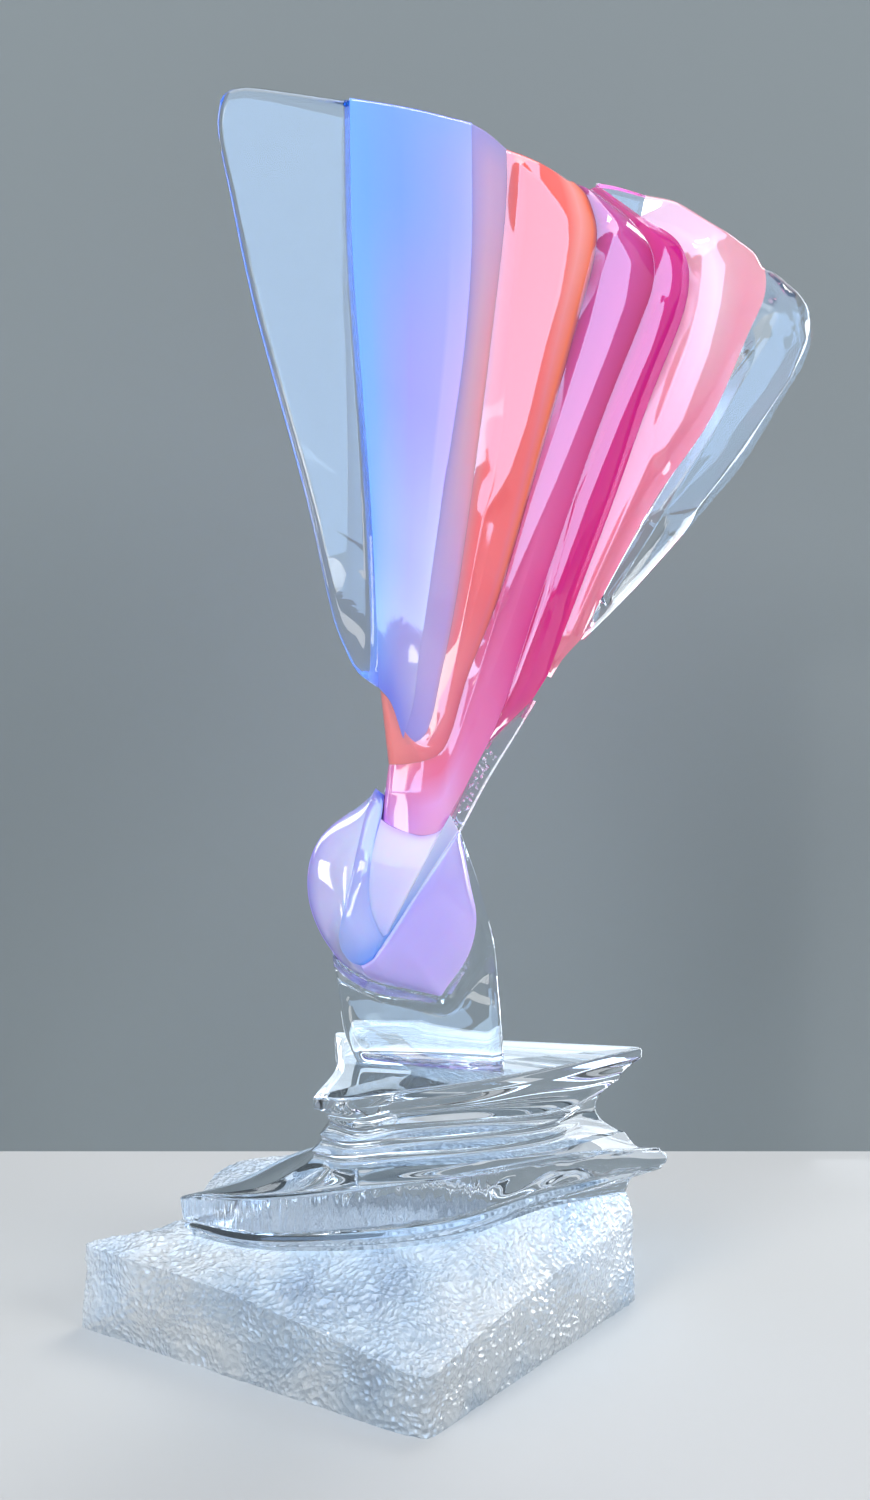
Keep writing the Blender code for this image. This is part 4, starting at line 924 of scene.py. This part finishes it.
neck = {
    "foot": 0.1473, "halfWidth": 0.0415, "centreX": -0.003, "front": 0.002, "depth": 0.032, "turn": -17,
    "left": [(0, 0), (-0.007, 0.0158), (-0.0105, 0.036)],
    "right": [(0, 0), (-0.001, 0.021), (-0.0025, 0.0415), (-0.0056, 0.071), (-0.0128, 0.099)],
    "topLeft": (0.005, 0.024), "topRight": (0.000, 0.013), "tip": 0.0006, "chamfer": 0.006, "land": 0.72,
    "lean": [-0.0042, 0.0006, 0.0054, 0.0062, 0.0045, 0.003, 0.001, 0.0], "leanMoreLeft": 0.5,
    "collar": 0.014, "sideRadius": 0.006, "sideLand": 0.66, "topReach": 1.5,
    "rows": 100, "columns": 140, "footRows": [0, 0.012, 0.025, 0.038],
}


# The neck's face leans back above its foot, and swells into the bulb that it holds.
def buildNeck():
    rowShares = np.concatenate([neck["footRows"], even(neck["rows"])[5:]])
    pocket = edgeLine(["-pocketLip", "bulbBottom", "bulbRight"], even(neck["columns"]))
    pocket[-1, 0] += neck["tip"]
    fall = neck["halfWidth"] * math.tan(math.radians(neck["turn"]))
    sides = []
    for side, outline, end, topDepths in ((-1, neck["left"], pocket[0], neck["topLeft"]),
                                          (1, neck["right"], pocket[-1], neck["topRight"])):
        cornerX = neck["centreX"] + side * neck["halfWidth"]
        front = neck["front"] + side * fall
        points = [(cornerX + x, neck["foot"] + z) for x, z in outline] + [tuple(end[:2])]
        flat = smoothCurve(points, rowShares)
        share = rowShares[:, None]
        depths = (1 - share) * np.array([front, front + neck["depth"]]) + share * np.array(topDepths)
        sides.append(np.hstack([flat, depths]))
    left, right = sides
    across = lengthShares(pocket)[:, None]
    low = (1 - across) * left[0] + across * right[0]
    high = withDepths(pocket[:, :2], left[-1], right[-1])
    grid = grown(filledGrid(left, right, low, high, neck["topReach"]), -gap)
    front, back = grid[..., 2], grid[..., 3]
    rise = (grid[..., 1] - neck["foot"]) / (waist - neck["foot"])
    leftward = 1 + neck["leanMoreLeft"] * (1 - even(grid.shape[1] - 1))[None]
    lean = smoothValues(neck["lean"], np.clip(rise, 0, 1)) * leftward
    front, back = front + lean, back + lean
    middle, half = (front + back) / 2, (back - front) / 2
    half = half * leftAtEdges(grid, ("bottom",), neck["chamfer"], neck["land"])
    half = half * leftAtEdges(grid, ("left", "right"), neck["sideRadius"], neck["sideLand"])
    front, back = middle - half, middle + half

    # near the pocket both faces run into the bulb's own surface
    rounding = leftAtEdges(pocket[None], ("bulbLeft",), bulb["radius"], bulb["land"])[0]
    centre, reach = (pocket[:, 2] + pocket[:, 3]) / 2, (pocket[:, 3] - pocket[:, 2]) / 2 * rounding
    flat = grid[..., :2].reshape(-1, 2)
    away = np.linalg.norm(flat[:, None] - pocket[None, :, :2], axis=2)
    nearest = away.argmin(axis=1)
    share = np.clip(away.min(axis=1) / neck["collar"], 0, 1)
    share = (share * share * (3 - 2 * share)).reshape(front.shape)
    front = share * front + (1 - share) * (centre - reach)[nearest].reshape(front.shape)
    back = share * back + (1 - share) * (centre + reach)[nearest].reshape(back.shape)
    points, faces, uv = gridSkin(grid, front, back)
    piece = addPiece("neckBlock", points, faces, clearAcrylic("clear cast acrylic, neck"), uv, sharpAngle=30)
    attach(piece, "root")
    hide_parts("neck_block")


# The block. The ring steps count the columns between two points of an outline, all other steps count rings
# from the bottom up, and sawn holds the columns, counter-clockwise from the left corner, where the saw marks
# end and start again.

block = {
    "footHeight": 0.062, "shelfHeight": 0.042, "fluteHeight": 0.026, "topHeight": 0.018, "edgeDrop": 0.014,
    "undercut": 0.75, "hollow": 0.005, "curve": 0.65, "topCorner": 0.003, "bevel": 0.0018, "bevelSteps": 5,
    "sideGroove": 0.017, "grooveReach": 0.055, "frontGroove": 0.0035, "grooves": 3,
    "ringSteps": [76, 80, 14, 76, 74, 110, 44, 56, 44], "cornerPasses": 8,
    "footSteps": [36, 44, 40], "underSteps": [6, 8], "bandSteps": 24, "riseSteps": [13, 10], "fluteSteps": 36,
    "topSteps": [8, 10, 6], "fadeIn": 14, "fadeOut": 6,
    "dimple": (0.0044, 0.0026, 0.0028), "dimpleDepth": 0.0016, "dimpleLevel": 0.4, "dimpleStray": 0.7,
    "waves": 0.0012, "waveLength": 0.022, "seed": 5,
    "swirl": (0.002, -0.078, 0.048), "swirlReach": 0.05, "swirlTurn": 1.2,
    "chip": {"place": (-0.124, -0.044, 0.005), "width": 0.005, "depth": 0.003},
    "noseReach": 0.03, "noseRadius": 0.0045, "lipShare": 0.2, "lipWidth": 0.06, "lipGroove": 0.0022,
    "streak": 0.004, "streakStretch": 8, "streakDepth": 0.0004, "longWave": 0.022, "longWaveDepth": 0.0014,
    "sawn": (170, 215, -110, -70),
}
# Plan outlines in millimetres, (x, y, height above the slab's level), counter-clockwise from the left
blockRings = {
    "rest": [(-201, 6, 0), (-110, -51, 0), (-14, -110, 0), (-3, -114, 0), (60, -34, 0), (121, 43, 0),
             (-88, 157, 0), (-140, 124, 0), (-160, 46, 0)],
    "footEdge": [(-199, 7, -2), (-108, -48, -6), (-13, -107, -20), (-3, -111, -20), (59, -33, -6),
                 (119, 43, 2), (-88, 153, 4), (-136, 120, 5), (-153, 38, -1)],
    "footSlope": [(-178, 11, -12), (-104, -32, -14), (-24, -62, -17), (4, -63, -16), (60, -17, -10),
                  (117, 44, -6), (-80, 138, -5), (-122, 108, -6), (-138, 30, -13)],
    "footTop": [(-137, 3, -9), (-103, -16, -9), (-48, -30, -5), (9, -31, 1), (58, -3, 7), (115, 47, 0),
                (-40, 110, 0), (-85, 78, -4), (-112, 30, -8)],
    "shelfLow": [(-141, -1, -3), (-106, -20, -5), (-50, -34, -1), (9, -36, 6), (60, -8, 13), (141, 56, 11),
                 (-42, 116, 4), (-90, 84, 0), (-119, 32, -3)],
    "shelfHigh": [(-143, -3, 13), (-95, -24, 20), (-40, -38, 30), (20, -36, 38), (75, 0, 36), (142, 57, 22),
                  (-42, 116, 16), (-88, 84, 10), (-118, 33, 9)],
    "shelfTop": [(-71, -28, -2), (-55, -45, 2), (-20, -47, 4), (20, -38, 3), (70, -4, 0), (114, 48, -6),
                 (-45, 92, -7), (-60, 55, -8), (-66, 15, -5)],
    "fluteTop": [(-56, -50, 4), (-42, -56, 1), (-19, -46, 0), (15, -31, -2), (70, 3, -6), (110, 44, 0),
                 (-55, 86, 0), (-54, 45, 1), (-52, 5, 2)],
    "face": [(-63, -60, 0), (-43, -62, 0), (-19, -49, 0), (15, -33, 0), (72, 4, 0), (125, 49, 0),
             (-63, 90, 0), (-59, 45, 0), (-56, 0, 0)],
}
footCorners = {0, 2, 3, 5, 6}
upperCorners = {0, 5, 6}
rightCorner = 5


def blockRing(name, level, corners):
    points = np.array(blockRings[name], float) / 1000 + (0, 0, level)
    count = len(points)
    found = []
    for i in range(count):
        start, end = points[i], points[(i + 1) % count]
        before = 2 * start - end if i in corners else points[i - 1]
        after = 2 * end - start if (i + 1) % count in corners else points[(i + 2) % count]
        steps = block["ringSteps"][i]
        found += [catmull(before, start, end, after, step / steps) for step in range(steps)]
    found = np.array(found)
    for _ in range(block["cornerPasses"]):
        found = (np.roll(found, 1, axis=0) + 2 * found + np.roll(found, -1, axis=0)) / 4
    return found


def inwardOf(ringPoints):
    inward = ringPoints.mean(axis=0) - ringPoints
    inward[:, 2] = 0
    return unit(inward)


# Rings that flow through the key rings, with a crease where it is asked for.
def ringsBetween(keys, counts, creases):
    rings = []
    for i, count in enumerate(counts):
        start, end = keys[i], keys[i + 1]
        before = 2 * start - end if i == 0 or i in creases else keys[i - 1]
        after = 2 * end - start if i + 2 >= len(keys) or i + 1 in creases else keys[i + 2]
        rings += [catmull(before, start, end, after, step / count) for step in range(count)]
    return rings + [keys[-1]]


def nearFin(outline, reach):
    corner = outline[sum(block["ringSteps"][:rightCorner])]
    return np.exp(-((np.linalg.norm((outline - corner)[:, :2], axis=1) / reach) ** 2))


def flutedRings(low, high, count):
    rings = []
    for step in range(1, count):
        share = step / count
        outline = (1 - share) * low + share * high
        near = nearFin(outline, block["grooveReach"])
        roundGroove = block["sideGroove"] * math.sin(math.pi * share) ** 0.8
        longGroove = block["frontGroove"] * abs(math.sin(math.pi * block["grooves"] * share))
        depth = near * roundGroove + (1 - near) * longGroove
        rings.append(outline + inwardOf(outline) * depth[:, None])
    return rings


# Dimples of a chopping tool over the foot, scale-like and turned round a swirl near the front corner.
def hammered(rings, fades, dents):
    grid = np.array(rings)
    along = np.roll(grid, -1, axis=1) - np.roll(grid, 1, axis=1)
    up = np.gradient(grid, axis=0)
    normals = unit(np.cross(along, up)).reshape(-1, 3)
    flat = grid.reshape(-1, 3)
    fade = np.repeat(fades, grid.shape[1])
    dent = np.repeat(dents, grid.shape[1])
    # without a seed of its own, noise_vector takes one from the clock
    noise.seed_set(block["seed"])
    arms = flat - np.array(block["swirl"])
    turn = block["swirlTurn"] * np.exp(-np.linalg.norm(arms, axis=1) / block["swirlReach"])
    spun = np.stack([arms[:, 0] * np.cos(turn) - arms[:, 1] * np.sin(turn),
                     arms[:, 0] * np.sin(turn) + arms[:, 1] * np.cos(turn), arms[:, 2]], axis=1)
    cells = spun / np.array(block["dimple"])
    depth = np.zeros(len(flat))
    for i, (cell, place) in enumerate(zip(cells.tolist(), (flat / block["waveLength"]).tolist())):
        if fade[i] + dent[i] <= 0:
            continue
        stray = block["dimpleStray"] * noise.noise_vector(Vector(place) * 3)
        near = noise.voronoi(Vector(cell) + stray)[0][0]
        dimple = block["dimpleDepth"] * (near**2 - block["dimpleLevel"])
        depth[i] = dimple + block["waves"] * noise.noise(Vector(place))
    depth = depth * fade + np.minimum(depth, 0) * dent
    chip = block["chip"]
    depth -= chip["depth"] * np.exp(-((np.linalg.norm(flat - chip["place"], axis=1) / chip["width"]) ** 2))
    moved = flat + normals * depth[:, None]
    moved[:, 2] = np.maximum(moved[:, 2], 0)
    return list(moved.reshape(grid.shape))


# A polished quarter-round from the side of an outline to its top.
def roundEdge(outline, radius):
    inward = inwardOf(outline)
    rings, steps = [], block["bevelSteps"]
    for step in range(1, steps + 1):
        turn = math.radians(90 * step / steps)
        rings.append(outline + inward * radius * (1 - math.cos(turn)) + (0, 0, radius * math.sin(turn)))
    return rings


# Upright saw marks that the polish has left in the shelf's edge, and long smooth waves where it isn't sawn.
def streaked(rings, sawn):
    grid = np.array(rings)
    inward = np.array([inwardOf(ring) for ring in grid])

    def uneven(scale, size):
        places = [Vector(place) / size for place in (grid.reshape(-1, 3) * scale).tolist()]
        return np.array([noise.noise(place) for place in places]).reshape(grid.shape[:2])

    marks = uneven((1, 1, 1 / block["streakStretch"]), block["streak"])
    waves = uneven((1, 1, 2), block["longWave"])
    depth = marks * sawn * block["streakDepth"] + waves * (1 - sawn) * block["longWaveDepth"]
    fade = np.sin(math.pi * even(len(grid) - 1)) ** 0.5
    return list(grid + inward * (depth * fade[:, None])[..., None])


def buildBlock():
    shelfLevel = block["footHeight"]
    fluteLevel = shelfLevel + block["shelfHeight"]
    topLevel = fluteLevel + block["fluteHeight"]
    blockTop = topLevel + block["topHeight"]
    rest = blockRing("rest", 0, footCorners)
    edge = blockRing("footEdge", shelfLevel - block["edgeDrop"], footCorners)
    names = ("footSlope", "footTop", "shelfLow", "shelfHigh")
    slope, footTop, low, high = [blockRing(name, shelfLevel, upperCorners) for name in names]
    shelfTop = blockRing("shelfTop", fluteLevel, upperCorners)
    fluteTop = blockRing("fluteTop", topLevel, upperCorners)
    face = blockRing("face", blockTop, upperCorners)
    lip = face - (0, 0, block["topHeight"] / 3)
    # the fin at the right is drawn in at its edges, so that its end is round
    nose = inwardOf(low) * (nearFin(low, block["noseReach"]) * block["noseRadius"])[:, None]
    low, high = low + nose, high + nose
    under = low + block["undercut"] * (footTop - low) * (1, 1, 0.2)
    rise = (1 - block["curve"]) * high + block["curve"] * shelfTop - (0, 0, block["hollow"])
    topUnder = (1 - block["curve"]) * lip + block["curve"] * fluteTop + inwardOf(face) * block["topCorner"]

    footRings = ringsBetween([rest, edge, slope, footTop], block["footSteps"], {1})
    fadeIn, fadeOut = block["fadeIn"], block["fadeOut"]
    full = np.ones(len(footRings) - fadeIn - fadeOut)
    fades = np.concatenate([np.linspace(0, 1, fadeIn), full, np.linspace(1, 0, fadeOut)])
    dents = np.concatenate([np.linspace(1, 0, fadeIn), np.zeros(len(footRings) - fadeIn)])
    footRings = hammered(footRings, fades, dents)

    bandStart, bandSteps = sum(block["underSteps"]), block["bandSteps"]
    shelfRings = ringsBetween([footTop, under, low, high], [*block["underSteps"], bandSteps], {2})
    for i in range(bandSteps + 1):
        share = i / bandSteps
        groove = block["lipGroove"] * math.exp(-(((share - block["lipShare"]) / block["lipWidth"]) ** 2))
        ring = shelfRings[bandStart + i]
        shelfRings[bandStart + i] = ring - nose * math.sin(math.pi * share) ** 0.6 + inwardOf(ring) * groove
    sawnStart = bandStart + round(bandSteps * block["lipShare"]) + 1
    count = len(rest)
    sawn = np.interp(np.arange(count), [0, *(column % count for column in block["sawn"])], [1, 1, 0, 0, 1])
    shelfRings[sawnStart:] = streaked(shelfRings[sawnStart:], sawn)
    shelfRings += roundEdge(high, block["bevel"])
    shelfRings += ringsBetween([shelfRings[-1], rise, shelfTop], block["riseSteps"], set())[1:]
    faceEdge = face - (0, 0, block["bevel"])
    topRings = ringsBetween([fluteTop, topUnder, lip, faceEdge], block["topSteps"], {2})
    rings = footRings + shelfRings[1:] + flutedRings(shelfTop, fluteTop, block["fluteSteps"]) + topRings
    rings += roundEdge(faceEdge, block["bevel"])

    points = np.vstack([*rings, rings[0].mean(axis=0), rings[-1].mean(axis=0)])
    index = np.arange(len(rings) * count).reshape(len(rings), count)
    ahead = np.roll(index, -1, axis=1)
    quads = np.stack([index[:-1], ahead[:-1], ahead[1:], index[1:]], axis=-1).reshape(-1, 4)
    bottomCentre, topCentre = len(points) - 2, len(points) - 1
    faces = quads.tolist()
    faces += [(b, a, bottomCentre) for a, b in zip(index[0].tolist(), ahead[0].tolist())]
    faces += [(a, b, topCentre) for a, b in zip(index[-1].tolist(), ahead[-1].tolist())]
    materials = [clearAcrylic("clear cast acrylic, block", waveDepth=0.00012),
                 hammeredAcrylic("hammered acrylic"), sawnAcrylic("sawn acrylic, polished")]
    piece = addPiece("carvedBlock", points, faces, materials, sharpAngle=35)
    roughRows = len(footRings) - 1
    which = np.zeros(len(faces), np.int32)
    which[: roughRows * count] = 1
    sawnRows = bandStart + bandSteps - sawnStart
    edgeStart = (roughRows + sawnStart) * count
    which[edgeStart : edgeStart + sawnRows * count] = np.tile(np.where(sawn > 0.5, 2, 0), sawnRows)
    piece.data.polygons.foreach_set("material_index", which)
    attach(piece, "root")
    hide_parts("base_foot_slab", "base_shelf_slab", "base_flute_slab", "base_top_slab")


buildFan()
print("fan built")
buildBulb()
buildNeck()
print("bulb and neck built")
buildBlock()
print("block built")
